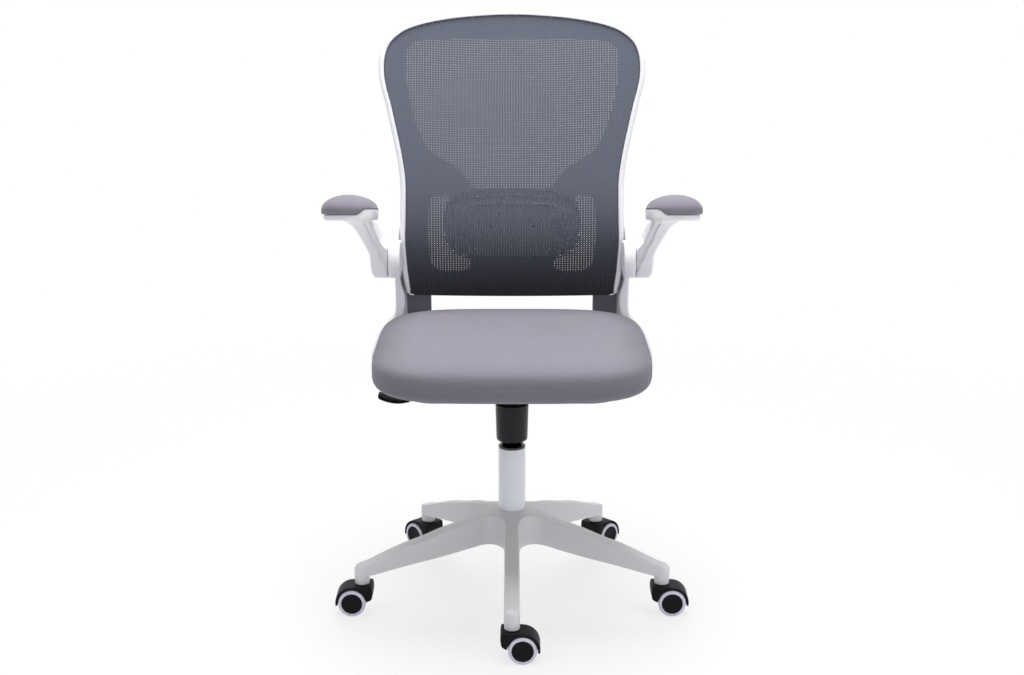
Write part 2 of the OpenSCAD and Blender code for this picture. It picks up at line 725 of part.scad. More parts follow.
module lift_rod() {
    low_z = column_low_z - rod_low_drop;
    piston_r = cylinder_r - cylinder_wall - run_gap;
    color("silver") union() {
        translate([0, 0, low_z]) cylinder(h = piston_z - low_z + cut, r = rod_r);
        translate([0, 0, piston_z]) cylinder(h = piston_h, r = piston_r);
    }
}
module thrust_bearing() {
    inner = rod_r + run_gap;
    low_z = column_low_z + column_floor;
    mid = (rod_r + bearing_r) / 2;
    color("gray") rotate_extrude()
        polygon([[inner, low_z], [bearing_r, low_z], [bearing_r, low_z + bearing_h / 3],
                 [mid, low_z + bearing_h / 3], [mid, low_z + 2 * bearing_h / 3],
                 [bearing_r, low_z + 2 * bearing_h / 3], [bearing_r, low_z + bearing_h],
                 [inner, low_z + bearing_h]]);
}
module rod_clip() {
    color("gray") translate([0, 0, column_low_z - free_gap - clip_h]) difference() {
        cylinder(h = clip_h, r = clip_r);
        translate([0, 0, -cut]) cylinder(h = clip_h + 2 * cut, r = rod_r + press_gap);
        translate([0, -clip_notch / 2, -cut]) cube([clip_r + cut, clip_notch, clip_h + 2 * cut]);
    }
}
module lift_cylinder() {
    chamber = cylinder_r - cylinder_wall;
    gland = rod_r + run_gap;
    valve = button_r + run_gap;
    head = cylinder_r - cylinder_taper;
    valve_low_z = cylinder_top_z + button_proud - button_l - button_travel_room;
    color("silver") rotate_extrude()
        polygon([[gland, cylinder_low_z], [cylinder_r, cylinder_low_z],
                 [cylinder_r, cylinder_top_z - cylinder_taper_h], [head, cylinder_top_z],
                 [valve, cylinder_top_z], [valve, valve_low_z], [0, valve_low_z],
                 [0, valve_low_z - plug_h / 4], [chamber, valve_low_z - plug_h / 4],
                 [chamber, cylinder_low_z + gland_h], [gland, cylinder_low_z + gland_h]]);
}
module lift_button() {
    color("silver") translate([0, 0, cylinder_top_z + button_proud - button_l])
        cylinder(h = button_l, r = button_r);
}
module lift_cover() {
    hole = cylinder_r + cover_hole_gap;
    inner = cover_r - cover_draft - cover_wall;
    low = cover_r - cover_draft;
    color("dimgray") rotate_extrude()
        polygon([[inner, cover_low_z], [low - cover_bevel, cover_low_z],
                 [low, cover_low_z + 2 * cover_bevel], [cover_r, housing_low_z - cover_bevel],
                 [cover_r - cover_bevel, housing_low_z], [hole, housing_low_z],
                 [hole, housing_low_z - cover_wall - bevel], [inner, housing_low_z - cover_wall - bevel]]);
}

// Tilt mechanism
module housing_outline(inward) {
    polygon([for (q = housing_shares)
        [q[0] * ((q[0] < 0 ? housing_front : housing_rear) - inward),
         housing_low_z + inward + q[1] * housing_h]]);
}
module tilt_housing() {
    inside = housing_half - sheet_t;
    color("dimgray") difference() {
        union() {
            difference() {
                along_x(-housing_half, housing_half) housing_outline(0);
                along_x(-inside, inside) hull() {
                    housing_outline(sheet_t);
                    translate([0, housing_h]) housing_outline(sheet_t);
                }
            }
            translate([0, 0, housing_low_z])
                cylinder(h = cylinder_top_z - housing_low_z, r = cylinder_r + socket_wall);
        }
        translate([0, 0, housing_low_z - cut])
            cylinder(h = cylinder_top_z - housing_low_z + 2 * cut, r = cylinder_r + press_gap);
        pin_x(-housing_w, housing_w, -tilt_ahead, tilt_z, tilt_pin_r + press_gap);
        pin_x(-housing_w, 0, 0, lever_z, bushing_r + run_gap);
        translate([0, spring_behind, housing_low_z - cut])
            cylinder(h = sheet_t + 2 * cut, r = screw_r + run_gap);
    }
}
module tilt_pin() {
    end_x = flange_x + sheet_t + free_gap;
    color("silver") union() {
        pin_x(-end_x - pin_head_t, end_x + pin_head_t, -tilt_ahead, tilt_z, tilt_pin_r);
        for (s = [0, 1])
            pin_x(s > 0 ? end_x : -end_x - pin_head_t, s > 0 ? end_x + pin_head_t : -end_x,
                  -tilt_ahead, tilt_z, pin_head_r);
    }
}
// One unbroken wire on a helix, from the nut up to the seat plate
spring_sides = 6;
spring_rings_per_curl = 8;
spring_rings = spring_curls * spring_rings_per_curl;
spring_rise = spring_top_z - spring_low_z - 2 * spring_wire_r;
function spring_point(k) =
    let (a = 360 * k / spring_rings_per_curl)
    [spring_r * cos(a), spring_behind + spring_r * sin(a),
     spring_low_z + spring_wire_r + spring_rise * k / spring_rings];
function spring_ring(k) =
    let (a = 360 * k / spring_rings_per_curl, c = spring_point(k))
    [for (j = [0 : spring_sides - 1])
        let (b = 360 * j / spring_sides)
        c + spring_wire_r * [cos(a) * cos(b), sin(a) * cos(b), sin(b)]];
spring_gap = min([for (k = [0 : spring_rings - spring_rings_per_curl])
    norm(spring_point(k + spring_rings_per_curl) - spring_point(k)) - 2 * spring_wire_r]);
echo(least_gap_between_curls = spring_gap);
module tension_spring() {
    n = spring_sides;
    rings = [for (k = [0 : spring_rings]) spring_ring(k)];
    color("silver") polyhedron(
        points = [for (r = rings, q = r) q],
        faces = concat(
            [for (j = [0 : spring_rings - 1], i = [0 : n - 1], k = [0, 1])
                let (a = j * n + i, b = j * n + (i + 1) % n)
                k == 0 ? [a, b, a + n] : [b, b + n, a + n]],
            [for (i = [1 : n - 2]) [0, i + 1, i]],
            [for (i = [1 : n - 2]) [spring_rings * n, spring_rings * n + i, spring_rings * n + i + 1]]),
        convexity = 8);
}
module tension_knob() {
    low_z = housing_low_z - knob_gap - knob_h;
    color("black") translate([0, spring_behind, low_z]) difference() {
        union() {
            cylinder(h = bevel, r1 = knob_r - bevel, r2 = knob_r);
            translate([0, 0, bevel]) cylinder(h = knob_h - bevel, r = knob_r);
        }
        for (k = [0 : knob_flutes - 1])
            rotate(360 * k / knob_flutes) translate([knob_r + flute_r / 3, 0, -cut])
                cylinder(h = knob_h + 2 * cut, r = flute_r);
        translate([0, 0, knob_h / 2]) cylinder(h = knob_h, r = screw_r + press_gap);
    }
}
module tension_screw() {
    low_z = housing_low_z - knob_gap - knob_h / 2 + free_gap;
    color("silver") translate([0, spring_behind, low_z]) cylinder(h = screw_top_z - low_z, r = screw_r);
}
module tension_nut() {
    color("gray") translate([0, spring_behind, housing_low_z + sheet_t + nut_lift]) difference() {
        translate([-nut_w / 2, -nut_l / 2, 0]) cube([nut_w, nut_l, nut_t]);
        translate([0, 0, -cut]) cylinder(h = nut_t + 2 * cut, r = screw_r + run_gap);
    }
}
module lever_bushing() {
    out_x = housing_half + bushing_out;
    in_x = housing_half - bushing_in;
    color("black") difference() {
        union() {
            pin_x(-out_x, -in_x, 0, lever_z, bushing_r);
            pin_x(-out_x - bushing_flange_t, -out_x, 0, lever_z, bushing_flange_r);
        }
        pin_x(-out_x - bushing_flange_t - cut, -in_x + cut, 0, lever_z, lever_bead_r + run_gap);
        pin_y(-bushing_r, bushing_r, -housing_half, lever_z, trunnion_r + run_gap);
    }
}
module rod_between(a, b, r) {
    d = b - a;
    translate(a) rotate([0, acos(d[2] / norm(d)), atan2(d[1], d[0])]) cylinder(h = norm(d), r = r);
}
module lever_rod() {
    path = [for (q = lever_bend_shares)
        [-q[0] * paddle_root_x, -q[1] * lever_side, lever_z - q[2] * lever_drop]];
    color("silver") union() {
        pin_x(path[0][0], lever_in, 0, lever_z, lever_r);
        translate([-housing_half, 0, lever_z]) sphere(r = lever_bead_r);
        pin_y(-trunnion_l / 2, trunnion_l / 2, -housing_half, lever_z, trunnion_r);
        for (i = [0 : len(path) - 2]) {
            translate(path[i]) sphere(r = lever_r + elbow_proud);
            rod_between(path[i], path[i + 1], lever_r);
        }
    }
}
module lever_paddle() {
    low = curve([for (q = paddle_low_shares)
        [-paddle_root_x - q[0] * paddle_l, paddle_low_z + q[1] * paddle_rise]], curve_steps);
    high = [for (q = low) [q[0], q[1] + paddle_t]];
    boss_z_mid = lever_z - lever_drop;
    color("black") difference() {
        union() {
            intersection() {
                along_y(-lever_side - paddle_w / 2, -lever_side + paddle_w / 2)
                    polygon(concat(low, reversed(high)));
                linear_extrude(lever_z)
                    polygon(concat(
                        arc([-lever_reach + paddle_corner, -lever_side - paddle_w / 2 + paddle_corner],
                            paddle_corner, 180, 270, base_arc_steps),
                        [[-paddle_root_x, -lever_side - paddle_w / 3],
                         [-paddle_root_x, -lever_side + paddle_w / 3]],
                        arc([-lever_reach + paddle_corner, -lever_side + paddle_w / 2 - paddle_corner],
                            paddle_corner, 90, 180, base_arc_steps)));
            }
            pin_x(-paddle_root_x - paddle_corner, -paddle_root_x + paddle_corner,
                  -lever_side, boss_z_mid, lever_r + bevel);
        }
        rod_socket();
    }
}
// Space of the lever rod inside the paddle's boss
module rod_socket() {
    path = [for (q = lever_bend_shares)
        [-q[0] * paddle_root_x, -q[1] * lever_side, lever_z - q[2] * lever_drop]];
    rod_between(path[1], path[2] + (path[2] - path[1]) / 20, lever_r + press_gap);
}

// Seat
module rounded_plate(half_w, front, rear, corner) {
    polygon(concat(
        arc([half_w - corner, -front + corner], corner, -90, 0, base_arc_steps),
        arc([half_w - corner, rear - corner], corner, 0, 90, base_arc_steps),
        arc([-half_w + corner, rear - corner], corner, 90, 180, base_arc_steps),
        arc([-half_w + corner, -front + corner], corner, 180, 270, base_arc_steps)));
}
module at_seat_bolts() {
    for (x = [-seat_bolt_x, seat_bolt_x], y = [-seat_bolt_ahead, seat_bolt_behind])
        translate([x, y, 0]) children();
}
module at_foot_bolts() {
    for (x = [-foot_bolt_x, foot_bolt_x], y = foot_bolt_behind) translate([x, y, 0]) children();
}
module seat_plate() {
    color("dimgray") difference() {
        union() {
            translate([0, 0, plate_low_z])
                linear_extrude(sheet_t) rounded_plate(plate_half_w, plate_front, plate_rear, plate_corner);
            for (x = [-flange_x - sheet_t, flange_x])
                translate([x, -tilt_ahead - flange_ahead, tilt_z - flange_drop])
                    cube([sheet_t, flange_ahead + flange_behind, plate_low_z - tilt_z + flange_drop]);
        }
        pin_x(-housing_w, housing_w, -tilt_ahead, tilt_z, tilt_pin_r + run_gap);
        at_seat_bolts() translate([0, 0, plate_low_z - cut])
            cylinder(h = sheet_t + 2 * cut, r = bolt_r + screw_gap);
    }
}
module seat_board() {
    color("black") difference() {
        translate([0, 0, board_low_z])
            linear_extrude(board_t) rounded_plate(board_half_w, board_front, board_rear, board_corner);
        at_seat_bolts() translate([0, 0, board_low_z - cut])
            cylinder(h = bolt_bite + cut + free_gap, r = bolt_r + press_gap);
        at_foot_bolts() translate([0, 0, board_low_z - cut])
            cylinder(h = bolt_bite + cut + free_gap, r = bolt_r + press_gap);
    }
}
module bolt(top_z, seat_z, head_t) {
    translate([0, 0, seat_z]) cylinder(h = top_z - seat_z, r = bolt_r);
    translate([0, 0, seat_z - head_t]) cylinder(h = head_t, r = bolt_head_r, $fn = 6);
}
module seat_bolts() {
    color("silver") at_seat_bolts() union() bolt(board_low_z + bolt_bite, plate_low_z, bolt_head_t);
}
// Cushion outline at full width, wider ahead of the column than behind it
function cushion_outline(share) =
    [for (k = [0 : cushion_steps - 1])
        let (a = 360 * k / cushion_steps, c = cos(a), s = sin(a))
        [share * seat_half_w * power(c, 2 / seat_corner_power),
         share * (s > 0 ? seat_rear : seat_front) * power(s, 2 / seat_corner_power)]];
function cushion_ring(share, z) = [for (q = cushion_outline(share)) [q[0], q[1], z]];
module seat_cushion() {
    flat_share = pow(1 - pow((seat_waist_z - cushion_low_z) / waist_drop, seat_side_power),
                     1 / seat_side_power);
    low = [for (k = [0 : cushion_low_rings - 1])
        let (s = flat_share + (1 - flat_share) * sin(90 * k / cushion_low_rings))
        cushion_ring(s, max(cushion_low_z, seat_waist_z - waist_drop
            * pow(1 - pow(s, seat_side_power), 1 / seat_side_power)))];
    top = [for (k = [0 : cushion_top_rings - 1])
        let (a = 90 * k / cushion_top_rings)
        cushion_ring(pow(cos(a), 2 / seat_side_power),
                     seat_waist_z + (seat_crown_z - seat_waist_z) * pow(sin(a), 2 / seat_side_power))];
    color("rosybrown") ringed_solid(concat(low, top), [0, 0, cushion_low_z], [0, 0, seat_crown_z]);
}

// Brackets, drawn for the sitter's left
function back_y(z) =
    let (d = z - lumbar_z)
    lumbar_behind + back_lean * d + back_turn * (sqrt(d * d + bend_soft * bend_soft) - bend_soft);
// Slab that follows the back's curved surface, between two depths behind the mesh's front
module back_slab(near, far) {
    low_z = back_low_z - slab_over;
    rise = back_h + 2 * slab_over;
    heights = [for (k = [0 : slab_steps]) low_z + rise * k / slab_steps];
    function reach(z) = back_curve_r + back_y(z) - lumbar_behind;
    translate([0, lumbar_behind - back_curve_r, 0]) rotate(90 - slab_angle)
        rotate_extrude(angle = 2 * slab_angle, $fn = slab_fn)
            polygon(concat([for (z = heights) [reach(z) + near, z]],
                           [for (z = reversed(heights)) [reach(z) + far, z]]));
}
module bracket_section() {
    outer = curve(placed(outer_shares, [upright_out, foot_low_z],
                         [bracket_out - upright_out, section_h]), curve_steps);
    inner = curve(placed(inner_shares, [upright_in, foot_low_z],
                         [bracket_in - upright_in, section_h]), curve_steps);
    polygon(concat([[foot_in, foot_low_z]], outer,
                   [[upright_out, bracket_top_z], [upright_in_high, bracket_top_z],
                    [upright_in_high, flare_top_z], [upright_in, flare_low_z]],
                   reversed(inner), [[foot_in, board_low_z]]));
}
module bracket_side() {
    polygon(ring_curve(placed(side_shares, [0, foot_low_z], [bracket_rear, bracket_rise]),
                       curve_steps));
}
module bracket(side) {
    front = placed(flange_front_shares, [0, foot_low_z], [bracket_rear, bracket_rise]);
    behind = [for (q = front) q + [flange_t, 0]];
    color("whitesmoke") on_side(side) difference() {
        union() {
            intersection() {
                along_y(0, bracket_rear + flange_t) bracket_section();
                along_x(0, bracket_out + cut) bracket_side();
            }
            along_x(block_in, block_out) {
                translate([pivot_behind, pivot_z]) circle(r = pivot_block_r);
                translate([pivot_behind, pivot_z - block_neck_h / 2])
                    square([block_behind - pivot_behind, block_neck_h]);
            }
            along_x(flange_in, upright_out - bevel) polygon(concat(front, reversed(behind)));
            for (z = boss_z) pin_y(boss_rear - boss_l, boss_rear, boss_x, z, boss_r);
        }
        difference() {
            back_slab(-shell_depth, panel_set + panel_t + free_gap);
            along_x(block_in - cut, bracket_out)
                square([back_rear_y, bracket_top_z + cut]);
        }
        pin_x(block_in + block_pin_in, block_out + cut, pivot_behind, pivot_z, pivot_pin_r + press_gap);
        for (z = boss_z)
            pin_y(back_front_y, back_rear_y, boss_x, z, screw_small_r + screw_gap);
        for (y = foot_bolt_behind) translate([foot_bolt_x, y, foot_low_z - cut])
            cylinder(h = foot_t + 2 * cut, r = bolt_r + screw_gap);
    }
}
module bracket_bolts() {
    color("silver") at_foot_bolts() union() bolt(board_low_z + bolt_bite, foot_low_z, bolt_head_t);
}
module back_screws() {
    color("silver") for (s = [-1, 1], z = boss_z) {
        front_y = back_y(z) - (back_curve_r - sqrt(back_curve_r * back_curve_r - boss_x * boss_x));
        pin_y(front_y + panel_set + bevel, boss_rear, s * boss_x, z, screw_small_r);
        pin_y(boss_rear, boss_rear + screw_head_t, s * boss_x, z, screw_head_r);
    }
}

// Back
function edge_points(shares, low_z) =
    let (low_w = bottom_share * back_half_w)
    concat([for (k = [0 : bottom_steps - 1])
                [low_w * k / bottom_steps, low_z + bottom_bow * pow(k / bottom_steps, 2)]],
           curve(concat([[low_w, low_z + bottom_bow]],
                        placed(shares, [0, back_low_z], [back_half_w, back_h])), curve_steps));
rim_outline = whole(edge_points(rim_shares, back_low_z + lip_wrap + free_gap));
mesh_outline = whole(edge_points(mesh_shares, back_low_z));
module prism(outline) {
    along_y(back_front_y, back_rear_y) polygon(outline);
}
module inner_prism(inward) {
    along_y(back_front_y, back_rear_y) offset(delta = -inward) polygon(mesh_outline);
}
module upper_window() {
    prism(whole(curve(placed(window_shares, [0, back_low_z], [back_half_w, back_h]), curve_steps)));
}
module side_windows() {
    right = ring_curve(placed(side_window_shares, [0, back_low_z], [back_half_w, back_h]), curve_steps);
    prism(right);
    prism(opposite(right));
}
module lumbar_slots(r) {
    reach = lumbar_travel + slot_spare;
    for (s = [-1, 1], x = lumbar_screw_x) {
        translate([s * x - r, back_front_y, lumbar_centre_z - reach])
            cube([2 * r, back_rear_y - back_front_y, 2 * reach]);
        for (d = [-reach, reach]) pin_y(back_front_y, back_rear_y, s * x, lumbar_centre_z + d, r);
    }
}
module back_shell() {
    color("whitesmoke") difference() {
        intersection() {
            back_slab(-rim_proud, shell_depth);
            prism(rim_outline);
        }
        intersection() {
            back_slab(-2 * rim_proud, mesh_t + mesh_seat_gap);
            prism(mesh_outline);
        }
        intersection() {
            back_slab(-2 * rim_proud, panel_set);
            inner_prism(rim_ledge);
        }
        intersection() {
            back_slab(panel_set + panel_t, 2 * shell_depth);
            inner_prism(rim_ledge);
        }
        ring_band(0, ring_deep, 0);
        upper_window();
        side_windows();
        lumbar_slots(slot_r);
        for (s = [-1, 1], z = boss_z)
            pin_y(back_front_y, back_rear_y, s * boss_x, z, screw_small_r + press_gap);
    }
}
module back_mesh() {
    low_w = bottom_share * back_half_w;
    low = [for (k = [-bottom_steps : bottom_steps])
        [low_w * k / bottom_steps, back_low_z + bottom_bow * pow(k / bottom_steps, 2)]];
    color("slategray") union() {
        intersection() {
            back_slab(0, mesh_t);
            inner_prism(press_gap);
        }
        intersection() {
            back_slab(mesh_t / 2, wrap_depth);
            prism(concat(low, [for (q = reversed(low)) [q[0], q[1] + lip_wrap]]));
        }
    }
}
// Band inside the mesh's edge, between two depths: the groove, or the strip with a gap round it
module ring_band(near, far, gap) {
    difference() {
        intersection() {
            back_slab(near, mesh_t + mesh_seat_gap + far);
            inner_prism(ring_in + gap);
        }
        inner_prism(ring_in + ring_w - gap);
    }
}
module mesh_ring() {
    color("dimgray") ring_band(mesh_t + ring_gap, ring_deep - ring_gap, ring_gap);
}
module lumbar_pad() {
    outline = [for (q = oval(lumbar_w / 2, lumbar_h / 2, lumbar_power, lumbar_steps))
        [q[0], q[1] + lumbar_centre_z]];
    color("slategray") difference() {
        union() {
            intersection() {
                back_slab(pad_set, pad_set + lumbar_t);
                prism(outline);
            }
            intersection() {
                back_slab(pad_set - rib_proud, pad_set + lumbar_t / 2);
                for (k = [0 : lumbar_ribs - 1])
                    translate([-rib_l / 2, back_front_y,
                               lumbar_centre_z + rib_centre_up + (k - 1) * rib_pitch - rib_h / 2])
                        cube([rib_l, back_rear_y - back_front_y, rib_h]);
            }
        }
        for (s = [-1, 1], x = lumbar_screw_x)
            pin_y(back_front_y, back_rear_y, s * x, lumbar_centre_z, screw_small_r + press_gap);
    }
}
module lumbar_slider() {
    near = panel_set + panel_t + slider_gap;
    color("dimgray") difference() {
        union() {
            intersection() {
                back_slab(near, near + slider_t);
                translate([-slider_w / 2, back_front_y, lumbar_centre_z - slider_h / 2])
                    cube([slider_w, back_rear_y - back_front_y, slider_h]);
            }
            intersection() {
                back_slab(pad_set + lumbar_t + free_gap, near + cut);
                for (s = [-1, 1], x = lumbar_screw_x)
                    pin_y(back_front_y, back_rear_y, s * x, lumbar_centre_z, slider_boss_r);
            }
        }
        for (s = [-1, 1], x = lumbar_screw_x)
            pin_y(back_front_y, back_rear_y, s * x, lumbar_centre_z, screw_small_r + press_gap);
    }
}
module lumbar_screws() {
    color("silver") for (s = [-1, 1], x = lumbar_screw_x) {
        front_y = back_y(lumbar_centre_z)
            - (back_curve_r - sqrt(back_curve_r * back_curve_r - x * x));
        head_y = front_y + panel_set + panel_t + slider_gap + slider_t + screw_gap
            + slider_lean_gap;
        pin_y(front_y + pad_set + free_gap, head_y, s * x, lumbar_centre_z, screw_small_r);
        pin_y(head_y, head_y + screw_head_t, s * x, lumbar_centre_z, screw_head_r);
    }
}

// Arms, drawn for the sitter's left
module arm_front() {
    outer = curve(placed(arm_outer_shares, [arm_in, arm_low_z], [arm_span, arm_rise]), curve_steps);
    inner = placed(arm_inner_shares, [arm_in, arm_low_z], [arm_span, arm_rise]);
    polygon(concat(outer, inner));
}
module arm_side() {
    low = curve(placed(arm_low_shares, [pivot_behind, arm_low_z], [-arm_reach, arm_rise]), curve_steps);
    top = placed(arm_top_shares, [pivot_behind, arm_low_z], [-arm_reach, arm_rise]);
    polygon(concat(low, top));
    translate([pivot_behind, pivot_z]) circle(r = pivot_block_r);
}
module tray_plan(inward) {
    translate([pad_x, pad_centre_y])
        polygon(oval(pad_w / 2 - inward, pad_half_l - inward, tray_corner_power, tray_steps));
}
module tray_lip(more) {
    translate([lip_x, 0, lip_z]) {
        translate([0, -lip_rear, 0]) rotate([90, 0, 0]) cylinder(h = lip_front - lip_rear, r = lip_r + more);
        for (y = [-lip_rear, -lip_front]) translate([0, y, 0]) sphere(r = lip_r + more);
    }
}
// Tilts a tray, or a pad, about the front of its upper face
module sloped() {
    translate([0, -pad_front, tray_top_z]) rotate([-tray_slope, 0, 0])
        translate([0, pad_front, -tray_top_z]) children();
}
module arm(side) {
    color("whitesmoke") on_side(side) difference() {
        union() {
            intersection() {
                along_y(-pad_front, pivot_behind + pivot_block_r + cut) arm_front();
                along_x(arm_in, arm_out + cut) arm_side();
            }
            sloped() {
                translate([0, 0, tray_top_z - tray_t]) linear_extrude(tray_t) tray_plan(tray_inset);
                intersection() {
                    tray_lip(0);
                    linear_extrude(tray_top_z + lip_r) tray_plan(tray_inset);
                }
            }
        }
        pin_x(arm_in - cut, arm_in + arm_root_t - pin_end_gap, pivot_behind, pivot_z,
              pivot_pin_r + run_gap);
    }
}
module arm_pins() {
    color("silver") for (s = [1, -1]) on_side(s)
        pin_x(block_in + block_pin_in + free_gap, arm_in + arm_root_t - pin_end_gap - free_gap,
              pivot_behind, pivot_z, pivot_pin_r);
}
function pad_ring(share, z) =
    [for (q = oval(share * pad_w / 2, share * pad_half_l, pad_power, pad_steps))
        [q[0] + pad_x, q[1] + pad_centre_y, z]];
module arm_pad(side) {
    low_z = tray_top_z + free_gap;
    waist_z = low_z + pad_waist;
    top_z = tray_top_z + pad_h;
    flat_share = 0.93;
    low = [for (k = [0 : pad_low_rings - 1])
        let (a = 90 * k / pad_low_rings)
        pad_ring(flat_share + (1 - flat_share) * sin(a), waist_z - pad_waist * cos(a))];
    top = [for (k = [0 : pad_top_rings - 1])
        let (a = 90 * k / pad_top_rings)
        pad_ring(pow(cos(a), 2 / pad_side_power),
                 waist_z + (top_z - waist_z) * pow(sin(a), 2 / pad_side_power))];
    color("rosybrown") on_side(side) sloped() difference() {
        ringed_solid(concat(low, top), [pad_x, pad_centre_y, low_z], [pad_x, pad_centre_y, top_z]);
        tray_lip(free_gap);
    }
}

star_base();
caster_stems();
lift_column();
lift_bushing();
lift_rod();
thrust_bearing();
rod_clip();
lift_cylinder();
lift_cover();
lift_button();
tilt_housing();
tilt_pin();
tension_spring();
tension_knob();
tension_screw();
tension_nut();
lever_bushing();
lever_rod();
lever_paddle();
seat_plate();
seat_board();
seat_cushion();
seat_bolts();
bracket(1);  // bracket_left
bracket(-1);  // bracket_right
bracket_bolts();
back_shell();
back_mesh();
mesh_ring();
back_screws();
lumbar_pad();
lumbar_slider();
lumbar_screws();
arm_pins();
arm(1);  // arm_left
arm(-1);  // arm_right
arm_pad(1);  // arm_pad_left
arm_pad(-1);  // arm_pad_right
for (n = [1 : base_arms]) {
    caster_hood(n - 1);
    caster_axle(n - 1);
    caster_wheels(n - 1);
    caster_treads(n - 1);
}
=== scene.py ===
"""Looks of a swivel chair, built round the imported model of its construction.

Each class is one sub-assembly of the chair. It holds its sizes in metres, works out its
surfaces as numpy arrays and dresses them. The frame is the construction's: the origin is on
the floor under the column, +Z is up, and the sitter faces -Y and has +X on the left.
"""

import sys
import logging
import math
from dataclasses import dataclass
from enum import Enum
from typing import Callable, Sequence

import bmesh
import bpy
import numpy as np
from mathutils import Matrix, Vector
from mathutils.geometry import delaunay_2d_cdt


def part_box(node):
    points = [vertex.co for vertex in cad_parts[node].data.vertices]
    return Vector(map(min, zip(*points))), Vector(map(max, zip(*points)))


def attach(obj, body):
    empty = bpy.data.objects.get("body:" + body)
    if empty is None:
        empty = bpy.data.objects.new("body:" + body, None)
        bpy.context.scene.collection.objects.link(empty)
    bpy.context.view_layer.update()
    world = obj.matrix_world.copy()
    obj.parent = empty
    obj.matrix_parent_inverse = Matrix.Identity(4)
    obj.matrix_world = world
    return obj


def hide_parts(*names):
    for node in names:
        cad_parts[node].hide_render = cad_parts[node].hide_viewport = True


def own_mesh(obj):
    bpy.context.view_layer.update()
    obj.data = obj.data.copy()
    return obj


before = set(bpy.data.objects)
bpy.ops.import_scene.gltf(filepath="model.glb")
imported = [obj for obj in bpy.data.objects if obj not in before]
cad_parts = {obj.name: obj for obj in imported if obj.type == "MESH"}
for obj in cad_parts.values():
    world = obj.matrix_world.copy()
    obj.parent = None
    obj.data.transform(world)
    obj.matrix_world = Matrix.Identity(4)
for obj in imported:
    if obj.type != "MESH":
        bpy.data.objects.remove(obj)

Array = np.ndarray
Place = Callable[[Array, Array], Array]
Row = tuple[float, ...]
Table = tuple[Row, ...]
log = logging.getLogger("chair")

MERGE = 2e-6
NO_LENGTH = 1e-12
NO_RISE = 1e-15
NO_SPAN = 1e-9
SHARP_ANGLE = math.radians(38)
SIDES = {"left": 1, "right": -1}
SQUARE = np.array([[-1.0, -1.0], [1.0, -1.0], [1.0, 1.0], [-1.0, 1.0]])
BLOTCH_SCALE = 9.0
GLOSS_SCALE = 140.0
GLOSS_SPREAD = 0.05
HOLLOW_SHARE = 0.55
FUZZ_SHARE = 0.35
EDGE_WEAR_HIGHLIGHT_FROM, EDGE_WEAR_HIGHLIGHT_TO = 0.52, 0.62


# Lines and outlines


def smooth_line(points: Sequence, steps: int, closed: bool = False) -> Array:
    """Smooth curve through points.

    Between points b and c, with a before them and d after them, the curve is
    b + t (c - a) / 2 + t^2 (a - 2.5 b + 2 c - d / 2) + t^3 (1.5 (b - c) + (d - a) / 2).

    Args:
        points: the points, in any number of coordinates.
        steps: parts that each stretch is cut into.
        closed: whether the last point runs on to the first.

    Returns:
        The points of the curve, one row each.
    """
    p = np.asarray(points, float)
    count = len(p)
    i = np.arange(count if closed else count - 1)
    near = [(i + k) % count if closed else np.clip(i + k, 0, count - 1) for k in (-1, 0, 1, 2)]
    a, b, c, d = (p[k][:, None] for k in near)
    t = (np.arange(steps) / steps)[None, :, None]
    line = b + t * (c - a) / 2 + t**2 * (a - 2.5 * b + 2 * c - d / 2)
    line = line + t**3 * (1.5 * (b - c) + (d - a) / 2)
    line = line.reshape(-1, p.shape[1])
    return line if closed else np.vstack([line, p[-1:]])


def even_line(line: Array, count: int, closed: bool = False) -> Array:
    """Points at even distances along a line.

    Args:
        line: the points of the line.
        count: how many points to return.
        closed: whether the last point runs on to the first.

    Returns:
        The new points, each between two old ones in proportion to its distance.
    """
    p = np.vstack([line, line[:1]]) if closed else np.asarray(line, float)
    along = np.concatenate([[0], np.cumsum(np.linalg.norm(np.diff(p, axis=0), axis=1))])
    at = np.linspace(0, along[-1], count, endpoint=not closed)
    return np.stack([np.interp(at, along, p[:, k]) for k in range(p.shape[1])], axis=1)


def inset(line: Array, by: float | Array) -> Array:
    """Closed outline moved along its left-hand normals, so into what a counter-clockwise one holds.

    Args:
        line: the outline.
        by: the distance, or one for each point.

    Returns:
        The moved outline.
    """
    ahead = np.roll(line, -1, 0) - np.roll(line, 1, 0)
    normal = np.stack([-ahead[:, 1], ahead[:, 0]], axis=1)
    normal /= np.maximum(np.linalg.norm(normal, axis=1, keepdims=True), NO_LENGTH)
    return line + normal * np.reshape(by, (-1, 1))


def counter_clockwise(line: Array, wanted: bool = True) -> Array:
    """The outline, turned round where its signed area, half the sum of x dy - y dx, has the wrong sign.

    Args:
        line: the outline.
        wanted: False for a clockwise one.

    Returns:
        The outline.
    """
    x, y = line[:, 0], line[:, 1]
    area = np.sum(x * np.roll(y, -1) - y * np.roll(x, -1)) / 2
    return line if (area > 0) == wanted else line[::-1]


def inside(points: Array, line: Array) -> Array:
    """Whether each point is inside an outline: a ray along +X crosses it an odd number of times.

    Args:
        points: flat points.
        line: the outline.

    Returns:
        True for each point inside.
    """
    x, y = points[:, 0:1], points[:, 1:2]
    a, b = line, np.roll(line, -1, 0)
    rise = np.where(np.abs(b[:, 1] - a[:, 1]) < NO_RISE, NO_RISE, b[:, 1] - a[:, 1])
    crosses = (a[:, 1] > y) != (b[:, 1] > y)
    meets = a[:, 0] + (y - a[:, 1]) * (b[:, 0] - a[:, 0]) / rise
    return np.count_nonzero(crosses & (x < meets), axis=1) % 2 == 1


